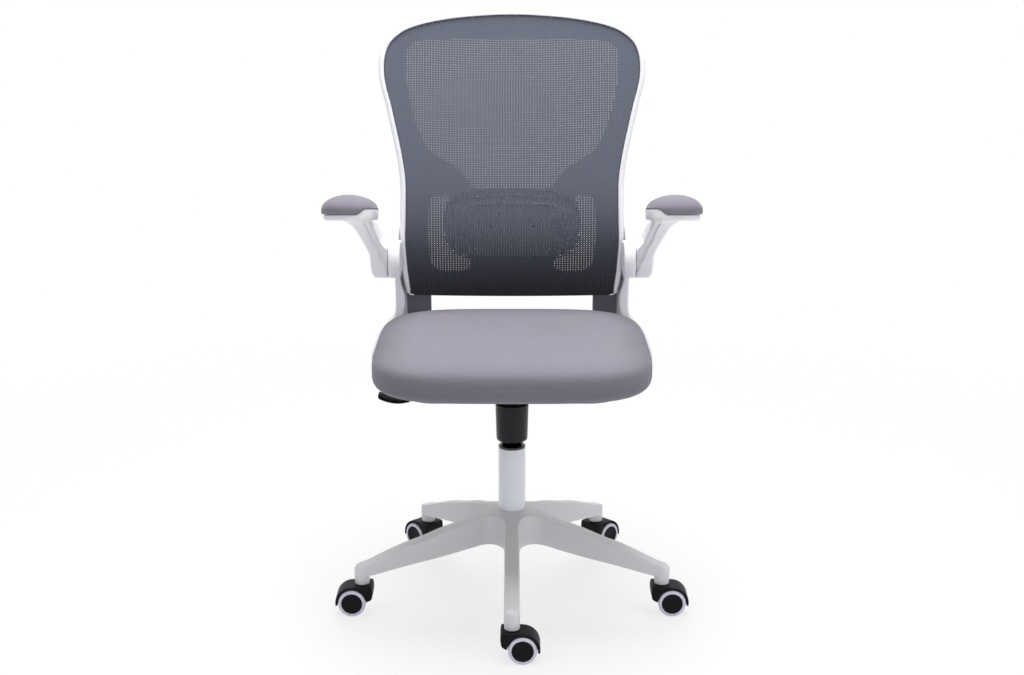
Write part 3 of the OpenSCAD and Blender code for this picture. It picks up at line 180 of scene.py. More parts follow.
def nearest(points: Array, line: Array, parts: int = 24) -> tuple[Array, Array]:
    """Index of the nearest point of a line to each point, and its distance, worked out in parts.

    Args:
        points: flat points.
        line: the line's points.
        parts: parts that the points are worked out in.

    Returns:
        The indices and the distances.
    """
    found = [np.zeros((2, 0))]
    for part in np.array_split(points, parts):
        gap = np.hypot(part[:, 0:1] - line[:, 0], part[:, 1:2] - line[:, 1])
        found.append(np.stack([gap.argmin(1), gap.min(1)]))
    made = np.hstack(found)
    return made[0].astype(int), made[1]


def round_turn(count: int) -> Array:
    """Angles at even steps round a whole turn, from 0."""
    return np.linspace(0, 2 * np.pi, count, endpoint=False)


def on_circle(angles: Array) -> Array:
    """Points (cos a, sin a) of the unit circle."""
    return np.stack([np.cos(angles), np.sin(angles)], axis=1)


def superellipse(half_w: float, half_l: float, power: float, count: int) -> Array:
    """Outline whose x is half_w |cos|^(2/power) and y half_l |sin|^(2/power), signs kept.

    Args:
        half_w: half the width.
        half_l: half the length.
        power: 2 for an ellipse, more for a squarer form.
        count: points to return.

    Returns:
        The outline, its points at even distances.
    """
    wave = on_circle(round_turn(8 * count))
    line = np.sign(wave) * np.abs(wave) ** (2 / power) * [half_w, half_l]
    return even_line(line, count, closed=True)


def rounded(corners: Array, radius: float | Array, steps: int = 5) -> Array:
    """Polygons with rounded corners.

    Each corner becomes (1 - t)^2 p + 2 t (1 - t) corner + t^2 q, where p and q lie on its two
    sides, at the radius or at 0.48 of the side, whichever is less.

    Args:
        corners: corners, shape (..., n, 2 or 3).
        radius: one radius, or one for each corner.
        steps: points on each corner.

    Returns:
        The points, shape (..., n * steps, 2 or 3).
    """
    r = np.reshape(np.broadcast_to(radius, corners.shape[-2]), (-1, 1))
    ends = []
    for shift in (1, -1):
        side = np.roll(corners, shift, axis=-2) - corners
        length = np.maximum(np.linalg.norm(side, axis=-1, keepdims=True), NO_LENGTH)
        ends.append(corners + side / length * np.minimum(r, 0.48 * length))
    t = np.linspace(0, 1, steps)[:, None]
    p, q, c = ends[0][..., None, :], ends[1][..., None, :], corners[..., None, :]
    made = (1 - t) ** 2 * p + 2 * t * (1 - t) * c + t**2 * q
    return made.reshape(*corners.shape[:-2], -1, corners.shape[-1])


def step_up(x: Array, low: float, high: float) -> Array:
    """Smooth step from 0 at low to 1 at high: 3 t^2 - 2 t^3."""
    t = np.clip((x - low) / (high - low), 0, 1)
    return t * t * (3 - 2 * t)


# Surfaces


@dataclass
class Patch:
    """Points with the quads and triangles that index them, and a cloth place for each point."""

    points: Array
    quads: Array
    tris: Array
    cloth: Array | None = None


NO_QUADS = np.zeros((0, 4), int)
NO_TRIS = np.zeros((0, 3), int)


def grid_patch(grid: Array, around: bool = False, cloth: Array | None = None) -> Patch:
    """Quads over a grid of points.

    Args:
        grid: points, shape (rows, columns, 3).
        around: whether the last column runs on to the first.
        cloth: cloth places, shape (rows, columns, 2).

    Returns:
        The patch.
    """
    rows, columns = grid.shape[:2]
    index = np.arange(rows * columns).reshape(rows, columns)
    if around:
        index = np.hstack([index, index[:, :1]])
    quads = np.stack([index[:-1, :-1], index[:-1, 1:], index[1:, 1:], index[1:, :-1]], axis=-1)
    places = None if cloth is None else cloth.reshape(-1, 2)
    return Patch(grid.reshape(-1, 3), quads.reshape(-1, 4), NO_TRIS, places)


def fan_patch(ring: Array) -> Patch:
    """Triangles from a closed ring to its mean point.

    Args:
        ring: the points of the ring.

    Returns:
        The patch.
    """
    count = len(ring)
    i = np.arange(count)
    tris = np.stack([i, (i + 1) % count, np.full(count, count)], axis=1)
    return Patch(np.vstack([ring, ring.mean(0)]), NO_QUADS, tris)


def joined(patches: Sequence[Patch]) -> Patch:
    """One patch of several; points without a cloth place get their x and z.

    Args:
        patches: the patches.

    Returns:
        The patch that holds them all.
    """
    shifts = np.cumsum([0] + [len(p.points) for p in patches])
    cloth = None
    if any(p.cloth is not None for p in patches):
        cloth = np.vstack([p.points[:, [0, 2]] if p.cloth is None else p.cloth for p in patches])
    return Patch(
        np.vstack([p.points for p in patches]),
        np.vstack([p.quads + s for p, s in zip(patches, shifts)]),
        np.vstack([p.tris + s for p, s in zip(patches, shifts)]),
        cloth,
    )


def mirrored(patch: Patch) -> Patch:
    """The patch with x turned to -x."""
    return Patch(patch.points * [-1, 1, 1], patch.quads, patch.tris, patch.cloth)


def turned(patch: Patch, angle: float, centre: Sequence[float] = (0, 0, 0)) -> Patch:
    """The patch turned about +Z by an angle in radians, then moved so that the origin is at centre.

    Args:
        patch: the patch.
        angle: the angle in radians.
        centre: where the origin goes.

    Returns:
        The new patch.
    """
    c, s = math.cos(angle), math.sin(angle)
    turn = np.array([[c, -s, 0], [s, c, 0], [0, 0, 1]])
    return Patch(patch.points @ turn.T + np.asarray(centre), patch.quads, patch.tris, patch.cloth)


def loft(rings: Array) -> Patch:
    """Surface over closed rings, shape (stations, around, 3), with a fan at either end."""
    return joined([grid_patch(rings, around=True), fan_patch(rings[0]), fan_patch(rings[-1])])


def lathe(profile: Array, centre: Sequence[float], axis: str = "z", count: int = 72) -> Patch:
    """Closed profile of (radius, distance along the axis) turned about an axis through centre.

    The point at angle a is centre + radius (cos a, sin a) across the axis + distance along it.

    Args:
        profile: closed outline, shape (n, 2), with no radius below 0.
        centre: a point on the axis.
        axis: "x", "y" or "z".
        count: points round the axis.

    Returns:
        The patch.
    """
    a = round_turn(count)
    p = np.vstack([profile, profile[:1]])
    r, h = p[:, 0:1], np.broadcast_to(p[:, 1:2], (len(p), count))
    u, v = r * np.cos(a), r * np.sin(a)
    order = {"x": (h, u, v), "y": (v, h, u), "z": (u, v, h)}[axis]
    return grid_patch(np.stack(order, axis=-1) + np.asarray(centre, float), around=True)


def tube(path: Array, radius: float | Array, sides: int = 20) -> Patch:
    """Round bar along a path.

    Across each point the ring is radius (cos a n + sin a m), where n is square to the path's
    direction and to X, or to Z where the path runs along X, and m is square to both.

    Args:
        path: the points of the path.
        radius: one radius, or one for each point.
        sides: points round the bar.

    Returns:
        The patch, closed at both ends.
    """
    ahead = np.gradient(path, axis=0)
    ahead /= np.linalg.norm(ahead, axis=1, keepdims=True)
    flat = abs(ahead[:, 0]).mean() > 0.7
    n = np.cross(ahead, [0, 0, 1] if flat else [1, 0, 0])
    n /= np.linalg.norm(n, axis=1, keepdims=True)
    m = np.cross(ahead, n)
    a = round_turn(sides)[None, :, None]
    r = np.broadcast_to(np.reshape(radius, (-1, 1, 1)), (len(path), 1, 1))
    return loft(path[:, None] + r * (np.cos(a) * n[:, None] + np.sin(a) * m[:, None]))


def filled(outlines: Sequence[Array], pitch: float) -> tuple[Array, Array]:
    """Flat triangles between an outline and its holes, with a point at each step of a grid.

    Args:
        outlines: the outer outline and then the holes.
        pitch: step of the grid of inner points.

    Returns:
        The points and the triangles.
    """
    low, high = outlines[0].min(0), outlines[0].max(0)
    x, y = (np.arange(low[k] + pitch / 2, high[k], pitch) for k in (0, 1))
    free = np.stack(np.meshgrid(x, y), axis=-1).reshape(-1, 2)
    keep = inside(free, outlines[0])
    for hole in outlines[1:]:
        keep &= ~inside(free, hole)
    free = free[keep]
    edge = np.vstack(outlines)
    points = np.vstack([edge, free[nearest(free, edge)[1] > 0.55 * pitch]])
    starts = np.cumsum([0] + [len(line) for line in outlines])
    edges = [(s + i, s + (i + 1) % len(line)) for line, s in zip(outlines, starts) for i in range(len(line))]
    made = delaunay_2d_cdt([Vector(p) for p in points.tolist()], edges, [], 0, NO_SPAN)
    flat, tris = np.array([tuple(v) for v in made[0]]), np.array(made[2])
    middle = flat[tris].mean(1)
    good = inside(middle, outlines[0])
    for hole in outlines[1:]:
        good &= ~inside(middle, hole)
    return flat, tris[good]


def plate(
    outlines: Sequence[Array], place: Place, depth: float, edge_r: float, pitch: float, steps: int = 5
) -> Patch:
    """Closed plate with rounded edges.

    Edge row k is the outline moved into the material by r (1 - sin a) at the depth r (1 - cos a),
    with a from 0 to 90 degrees, and the same again from the far side. place bends it all.

    Args:
        outlines: the outer outline and then the holes.
        place: gives the points in space for flat points and their depths.
        depth: thickness of the plate.
        edge_r: radius of its edges.
        pitch: step of the inner points.
        steps: rows on each rounded edge.

    Returns:
        The patch.
    """
    lines = [counter_clockwise(line, k == 0) for k, line in enumerate(outlines)]
    a = np.linspace(0, np.pi / 2, steps)
    move = edge_r * np.concatenate([1 - np.sin(a), (1 - np.sin(a))[::-1]])
    deep = np.concatenate([edge_r * (1 - np.cos(a)), depth - edge_r * (1 - np.cos(a))[::-1]])
    patches = []
    for line in lines:
        rows = np.stack([inset(line, m) for m in move])
        flat = place(rows.reshape(-1, 2), np.repeat(deep, len(line)))
        patches.append(grid_patch(flat.reshape(len(move), len(line), 3), around=True))
    flat, tris = filled([inset(line, edge_r) for line in lines], pitch)
    patches += [Patch(place(flat, np.full(len(flat), d)), NO_QUADS, tris) for d in (0.0, depth)]
    return joined(patches)


# Finishes


def srgb(red: int, green: int, blue: int) -> tuple[float, float, float]:
    """Linear colour of a screen colour given from 0 to 255: ((c + 0.055) / 1.055)^2.4."""
    return tuple(((c / 255 + 0.055) / 1.055) ** 2.4 for c in (red, green, blue))


class Pattern(Enum):
    """Fine relief of a finish."""

    GRAIN = "grain"
    SMOOTH = "smooth"
    WEAVE = "weave"
    CORDS = "cords"
    BRUSHED = "brushed"
    PLY = "ply"


class Nodes:
    """Short ways to add and join the nodes of a material."""

    def __init__(self, tree: bpy.types.NodeTree) -> None:
        """Keeps the tree that the nodes go into."""
        self.tree = tree

    def add(self, kind: str, inputs: dict | None = None, **settings: object) -> bpy.types.Node:
        """Adds a node.

        Args:
            kind: the node's type, without its ShaderNode prefix.
            inputs: what goes into its inputs, each a socket to join or a value to set.
            settings: the node's own properties.

        Returns:
            The node.
        """
        node = self.tree.nodes.new("ShaderNode" + kind)
        for name, value in settings.items():
            setattr(node, name, value)
        for name, value in (inputs or {}).items():
            if isinstance(value, bpy.types.NodeSocket):
                self.tree.links.new(value, node.inputs[name])
            else:
                node.inputs[name].default_value = value
        return node

    def math(self, operation: str, a: object, b: object = 0.0) -> bpy.types.NodeSocket:
        """Result of a sum of two numbers or sockets."""
        return self.add("Math", {0: a, 1: b}, operation=operation).outputs[0]

    def mix(self, share: object, a: object, b: object) -> bpy.types.NodeSocket:
        """Colour between a and b."""
        node = self.add("Mix", {0: share, 6: a, 7: b}, data_type="RGBA")
        return node.outputs[2]

    def noise(self, place: object, scale: float, detail: float = 2.0) -> bpy.types.NodeSocket:
        """Soft noise from 0 to 1."""
        return self.add("TexNoise", {"Vector": place, "Scale": scale, "Detail": detail}).outputs[0]

    def spread(self, value: object, low: float, high: float) -> bpy.types.NodeSocket:
        """A value from 0 to 1 taken to the range low to high."""
        return self.add("MapRange", {0: value, 3: low, 4: high}).outputs[0]


@dataclass(frozen=True)
class Finish:
    """A surface finish: its colour, gloss and fine relief, in metres.

    Attributes:
        name: the material's name.
        colour: linear colour.
        roughness: mean roughness.
        pattern: kind of relief.
        pitch: size of the relief.
        height: height of the relief.
        blotch: how far the colour wanders, as a share.
        metallic: 1 for bare metal.
        sheen: strength of the cloth's sheen.
        coat: strength of a clear coat.
        edge: how much paler convex edges are, as a share: wear on most finishes, a painted highlight on the
            lumbar pad's ribs.
        specular: strength of the mirror-like part, 0.5 for most plastics.
        painted_shade_below: heights between which the colour darkens downwards as painted shade, and its
            share at the lower one.
    """

    name: str
    colour: tuple[float, float, float]
    roughness: float
    pattern: Pattern = Pattern.GRAIN
    pitch: float = 0.0008
    height: float = 0.00002
    blotch: float = 0.02
    metallic: float = 0.0
    sheen: float = 0.0
    coat: float = 0.0
    edge: float = 0.0
    specular: float = 0.5
    painted_shade_below: tuple[float, float, float] | None = None

    def material(self) -> bpy.types.Material:
        """The material of this finish, made once.

        Returns:
            The material, with its nodes.
        """
        name = f"finish_{self.name}"
        made = bpy.data.materials.get(name)
        if made is not None:
            return made
        made = bpy.data.materials.new(name)
        made.use_nodes = True
        nodes = Nodes(made.node_tree)
        shader = made.node_tree.nodes["Principled BSDF"]
        place = nodes.add("TexCoord").outputs["Object"]
        relief, shade = self.relief(nodes, place)
        colour = nodes.mix(nodes.noise(place, BLOTCH_SCALE), self.toned(1 - self.blotch),
                           self.toned(1 + self.blotch))
        if shade is not None:
            colour = nodes.mix(shade, colour, self.toned(HOLLOW_SHARE))
        # Convex edges, found by pointiness, are made paler: wear on most finishes, a painted highlight along
        # the lumbar pad's ribs.
        if self.edge:
            wear_and_highlight = nodes.add("NewGeometry").outputs["Pointiness"]
            wear_and_highlight = nodes.add("MapRange", {0: wear_and_highlight, 1: EDGE_WEAR_HIGHLIGHT_FROM, 2: EDGE_WEAR_HIGHLIGHT_TO, 3: 0.0, 4: 1.0}).outputs[0]
            colour = nodes.mix(wear_and_highlight, colour, self.toned(1 + self.edge))
        # Painted shade: the colour darkens downwards between two heights of the piece.
        if self.painted_shade_below is not None:
            low, high, share = self.painted_shade_below
            up = nodes.add("SeparateXYZ", {0: place}).outputs[2]
            up = nodes.add("MapRange", {0: up, 1: low, 2: high}, interpolation_type="SMOOTHSTEP").outputs[0]
            colour = nodes.mix(up, self.toned(share), colour)
        made.node_tree.links.new(colour, shader.inputs["Base Color"])
        gloss = nodes.noise(place, GLOSS_SCALE, 3.0)
        rough = nodes.spread(gloss, self.roughness - GLOSS_SPREAD, self.roughness + GLOSS_SPREAD)
        made.node_tree.links.new(rough, shader.inputs["Roughness"])
        bump = nodes.add("Bump", {"Height": relief, "Strength": 1.0, "Distance": self.height})
        made.node_tree.links.new(bump.outputs[0], shader.inputs["Normal"])
        shader.inputs["Metallic"].default_value = self.metallic
        shader.inputs["Sheen Weight"].default_value = self.sheen
        shader.inputs["Sheen Roughness"].default_value = 0.4
        shader.inputs["Specular IOR Level"].default_value = self.specular
        shader.inputs["Coat Weight"].default_value = self.coat
        shader.inputs["Coat Roughness"].default_value = 0.12
        return made

    def toned(self, share: float) -> tuple[float, float, float, float]:
        """The colour times a share, no brighter than white."""
        return (*(min(1.0, c * share) for c in self.colour), 1.0)

    def relief(self, nodes: Nodes, place: object) -> tuple:
        """Height of the fine relief from 0 to 1, and a share for darker hollows or None.

        A weave is |sin(pi u)| on the squares of a chequer and |sin(pi v)| on the others, each
        rounded by the other, where u and v count threads across the cloth, with a share of
        noise as fuzz. Cords are |sin(pi u)|. Brushing and plies are noise drawn out along one axis.

        Args:
            nodes: the material's nodes.
            place: the socket of Object coordinates.

        Returns:
            The sockets of the height and of the share.
        """
        if self.pattern in (Pattern.WEAVE, Pattern.CORDS):
            cloth = nodes.add("SeparateXYZ", {0: nodes.add("UVMap").outputs[0]})
            u, v = (nodes.math("DIVIDE", cloth.outputs[k], self.pitch) for k in (0, 1))
            across, down = (
                nodes.math("ABSOLUTE", nodes.math("SINE", nodes.math("MULTIPLY", k, math.pi))) for k in (u, v)
            )
            if self.pattern is Pattern.CORDS:
                return across, nodes.spread(across, 0.5, 0.0)
            sum_uv = nodes.math("ADD", nodes.math("FLOOR", u), nodes.math("FLOOR", v))
            odd = nodes.math("PINGPONG", sum_uv, 1.0)
            even = nodes.math("SUBTRACT", 1.0, odd)
            warp = nodes.math("MULTIPLY", across, nodes.spread(down, 0.5, 1.0))
            weft = nodes.math("MULTIPLY", down, nodes.spread(across, 0.5, 1.0))
            height = nodes.math(
                "ADD", nodes.math("MULTIPLY", warp, odd), nodes.math("MULTIPLY", weft, even)
            )
            fuzz = nodes.noise(place, 1.5 / self.pitch, 4.0)
            height = nodes.math("ADD", height, nodes.math("MULTIPLY", fuzz, FUZZ_SHARE))
            return height, nodes.add("MapRange", {0: height, 1: 0.15, 2: 0.9, 3: 0.35, 4: 0.0}).outputs[0]
        if self.pattern in (Pattern.BRUSHED, Pattern.PLY):
            stretch = (1.0, 1.0, 0.05) if self.pattern is Pattern.BRUSHED else (0.15, 1.0, 1.0)
            drawn = nodes.add("Mapping", {"Vector": place, "Scale": stretch}).outputs[0]
            grain = nodes.noise(drawn, 1 / self.pitch, 4.0)
            return grain, nodes.spread(grain, 0.5, 0.0) if self.pattern is Pattern.PLY else None
        detail = 2.0 if self.pattern is Pattern.SMOOTH else 6.0
        return nodes.noise(place, 1 / self.pitch, detail), None


BASE_GREY = Finish("base_grey", srgb(224, 224, 228), 0.42, edge=0.03)
SHELL_WHITE = Finish("shell_white", srgb(243, 243, 247), 0.34, edge=0.02, blotch=0.01)
TUBE_WHITE = Finish("tube_white", srgb(238, 243, 250), 0.3, Pattern.SMOOTH, 0.004, blotch=0.01, coat=0.3)
BLACK = Finish("black_plastic", srgb(12, 12, 15), 0.5, pitch=0.0011, height=0.00004, edge=0.4, specular=0.12)
SATIN_BLACK = Finish("satin_black", srgb(20, 20, 29), 0.3, pitch=0.0011, height=0.00003, edge=0.4,
                     specular=0.25)
GLOSS_BLACK = Finish("gloss_black", srgb(10, 10, 13), 0.14, Pattern.SMOOTH, 0.006, coat=0.3)
# Painted shade: the white bracket's flange behind the back, darkened to grey.
FLANGE_PAINTED_SHADE = Finish("flange_painted_shade", srgb(128, 128, 138), 0.45)
TREAD = Finish("tread", srgb(222, 216, 236), 0.5, pitch=0.0015)
STEEL = Finish("steel", srgb(190, 192, 197), 0.3, Pattern.BRUSHED, 0.0006, metallic=1.0)
CHROME = Finish("chrome", srgb(205, 207, 212), 0.12, Pattern.SMOOTH, 0.01, metallic=1.0)
BLACK_STEEL = Finish("black_steel", srgb(38, 38, 42), 0.5, pitch=0.0006, height=0.00006)
PLYWOOD = Finish("plywood", srgb(150, 118, 84), 0.7, Pattern.PLY, 0.0012, 0.0001, blotch=0.08)
# Painted shade: the seat cloth darkens below its top, down its front and sides, to 0.7 of its colour.
SEAT_CLOTH = Finish("seat_cloth", srgb(138, 134, 146), 0.88, Pattern.WEAVE, 0.0026, 0.00016, 0.03, sheen=0.15,
                    painted_shade_below=(0.45, 0.512, 0.7))
PAD_CLOTH = Finish("pad_cloth", srgb(134, 129, 141), 0.85, Pattern.WEAVE, 0.0022, 0.00014, 0.03, sheen=0.2)
# Painted shade: the mesh darkens from 0.78 m down to 0.5 m, to 0.12 of its colour at the bottom.
MESH_CORDS = Finish("mesh_cords", srgb(100, 105, 119), 0.6, Pattern.CORDS, 0.0051, 0.0002, 0.03, sheen=0.1,
                    specular=0.3, painted_shade_below=(0.5, 0.78, 0.12))
HEM_CORD = Finish("hem_cord", srgb(84, 86, 96), 0.8, Pattern.CORDS, 0.0012, 0.0002)
# Painted light: the grey is paler than the pad's own colour, standing in for light through the mesh, and its
# pale edges paint a highlight on the ribs.
LUMBAR_PAINTED_LIGHT = Finish("lumbar_painted_light", srgb(182, 185, 201), 0.4, pitch=0.001, edge=0.6)


# Pieces


def mesh_object(name: str, patch: Patch) -> bpy.types.Object:
    """Mesh object of a patch, with doubles merged, faces outwards and smooth shading.

    Args:
        name: the object's name.
        patch: the surface.

    Returns:
        The object, at the origin.
    """
    mesh = bpy.data.meshes.new(name)
    loops = np.concatenate([patch.quads.ravel(), patch.tris.ravel()]).astype(np.int32)
    starts = np.concatenate(
        [np.arange(len(patch.quads)) * 4, len(patch.quads) * 4 + np.arange(len(patch.tris)) * 3]
    )
    mesh.vertices.add(len(patch.points))
    mesh.vertices.foreach_set("co", patch.points.astype(np.float32).ravel())
    mesh.loops.add(len(loops))
    mesh.loops.foreach_set("vertex_index", loops)
    mesh.polygons.add(len(starts))
    mesh.polygons.foreach_set("loop_start", starts.astype(np.int32))
    mesh.update(calc_edges=True)
    if patch.cloth is not None:
        layer = mesh.uv_layers.new(name="cloth")
        layer.data.foreach_set("uv", patch.cloth[loops].astype(np.float32).ravel())
    edit = bmesh.new()
    edit.from_mesh(mesh)
    bmesh.ops.remove_doubles(edit, verts=edit.verts, dist=MERGE)
    bmesh.ops.dissolve_degenerate(edit, edges=edit.edges, dist=MERGE / 4)
    bmesh.ops.recalc_face_normals(edit, faces=edit.faces)
    edit.to_mesh(mesh)
    edit.free()
    mesh.shade_smooth()
    mesh.set_sharp_from_angle(angle=SHARP_ANGLE)
    made = bpy.data.objects.new(name, mesh)
    bpy.context.scene.collection.objects.link(made)
    return made


def add_piece(
    name: str, patch: Patch, finish: Finish, body: str, nodes: Sequence[str] = ()
) -> bpy.types.Object:
    """Makes a piece of the chair and gives it its finish, body and the nodes it stands for.

    Args:
        name: the piece's name.
        patch: its surface.
        finish: its finish.
        body: the moving body that it rides on.
        nodes: the construction's nodes that it replaces.

    Returns:
        The object.
    """
    piece = mesh_object(name, patch)
    piece.data.materials.append(finish.material())
    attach(piece, body)
    if nodes:
        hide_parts(*nodes)
    log.info("%s: %d faces on %s", name, len(piece.data.polygons), body)
    return piece


def dress_node(node: str, finish: Finish) -> None:
    """Gives one of the construction's own nodes a finish.

    Args:
        node: the node's name.
        finish: its finish.
    """
    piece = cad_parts[node]
    piece.data.materials.clear()
    piece.data.materials.append(finish.material())


@dataclass
class Studio:
    """Camera, lamps and floor."""

    camera_back: float = 2.782
    camera_high: float = 1.197
    camera_pitch: float = 14.15
    lens: float = 55.69
    sensor: float = 36.0
    floor_r: float = 60.0
    world_level: float = 0.32
    near_white: float = 0.72
    white_from: float = 0.5
    white_to: float = 2.2
    aim_z: float = 0.6
    lamps: tuple = (
        ("overhead", (0.0, 0.1, 2.7), 1.5, 55),
        ("low", (2.2, -1.2, 0.6), 1.2, 5.5),
        ("left", (-1.8, -1.6, 2.2), 1.4, 8),
        ("right", (1.8, -1.6, 2.2), 1.4, 9),
        ("rear", (0.0, 1.8, 2.4), 1.6, 17),
    )
    floor_rings: Row = (0.001, 0.5, 1.0, 2.0, 4.0, 12.0)
    floor_tint: Row = (0.93, 0.93, 0.94, 1.0)
    light_tint: Row = (0.97, 0.985, 1.0, 1.0)

    def camera(self) -> None:
        """Camera where the photograph was taken."""
        data = bpy.data.cameras.new("camera")
        data.lens, data.sensor_width = self.lens, self.sensor
        made = bpy.data.objects.new("camera", data)
        made.location = (0, -self.camera_back, self.camera_high)
        made.rotation_euler = (math.radians(90 - self.camera_pitch), 0, 0)
        bpy.context.scene.collection.objects.link(made)
        bpy.context.scene.camera = made

    def lamp(self, name: str, place: Sequence[float], size: float, power: float) -> None:
        """Soft square lamp that faces the middle of the chair.

        Args:
            name: the lamp's name.
            place: where it stands.
            size: side of its square.
            power: its power in watts.
        """
        data = bpy.data.lights.new(name, "AREA")
        data.shape, data.size, data.energy = "SQUARE", size, power
        made = bpy.data.objects.new(name, data)
        made.location = place
        aim = Vector((0, 0, self.aim_z)) - Vector(place)
        made.rotation_euler = aim.to_track_quat("-Z", "Y").to_euler()
        bpy.context.scene.collection.objects.link(made)

    def world(self) -> None:
        """White surroundings: full white to the eye and in reflections, softer as light."""
        world = bpy.data.worlds.new("surroundings")
        bpy.context.scene.world = world
        world.use_nodes = True
        nodes = Nodes(world.node_tree)
        seen = self.seen(nodes)
        level = nodes.spread(seen, self.world_level, 1.0)
        back = world.node_tree.nodes["Background"]
        tone = nodes.mix(seen, self.light_tint, (1.0, 1.0, 1.0, 1.0))
        world.node_tree.links.new(tone, back.inputs["Color"])
        world.node_tree.links.new(level, back.inputs["Strength"])

    def seen(self, nodes: Nodes) -> bpy.types.NodeSocket:
        """1 for rays from the camera, reflections and glass.

        Args:
            nodes: the nodes of the floor or of the world.

        Returns:
            The socket.
        """
        path = nodes.add("LightPath")
        rays = nodes.math("MAXIMUM", path.outputs["Is Camera Ray"], path.outputs["Is Glossy Ray"])
        return nodes.math("MAXIMUM", rays, path.outputs["Is Transmission Ray"])

    def floor(self) -> None:
        """Pale floor that turns to plain white away from the chair."""
        ring = round_turn(96)
        radii = np.array([*self.floor_rings, self.floor_r])[:, None]
        grid = np.stack([radii * np.cos(ring), radii * np.sin(ring), 0 * radii * ring], axis=-1)
        floor = mesh_object("floor", grid_patch(grid, around=True))
        made = bpy.data.materials.new("floor")
        made.use_nodes = True
        nodes = Nodes(made.node_tree)
        shader = made.node_tree.nodes["Principled BSDF"]
        shader.inputs["Base Color"].default_value = self.floor_tint
        shader.inputs["Roughness"].default_value = 0.5
        place = nodes.add("TexCoord").outputs["Object"]
        far = nodes.add("VectorMath", {0: place}, operation="LENGTH").outputs["Value"]
        limits = {1: self.white_from, 2: self.white_to, 3: self.near_white, 4: 1.0}
        far = nodes.add("MapRange", {0: far, **limits}, interpolation_type="SMOOTHSTEP").outputs[0]
        share = nodes.math("MULTIPLY", far, self.seen(nodes))
        white = nodes.add("Emission", {"Color": (1, 1, 1, 1), "Strength": 1.0})
        mixed = nodes.add("MixShader", {0: share, 1: shader.outputs[0], 2: white.outputs[0]})
        made.node_tree.links.new(mixed.outputs[0], made.node_tree.nodes["Material Output"].inputs["Surface"])
        floor.data.materials.append(made)

    def build(self) -> None:
        """Sets up the scene round the chair."""
        bpy.context.scene.view_settings.view_transform = "Standard"
        self.camera()
        self.world()
        self.floor()
        for lamp in self.lamps:
            self.lamp(*lamp)


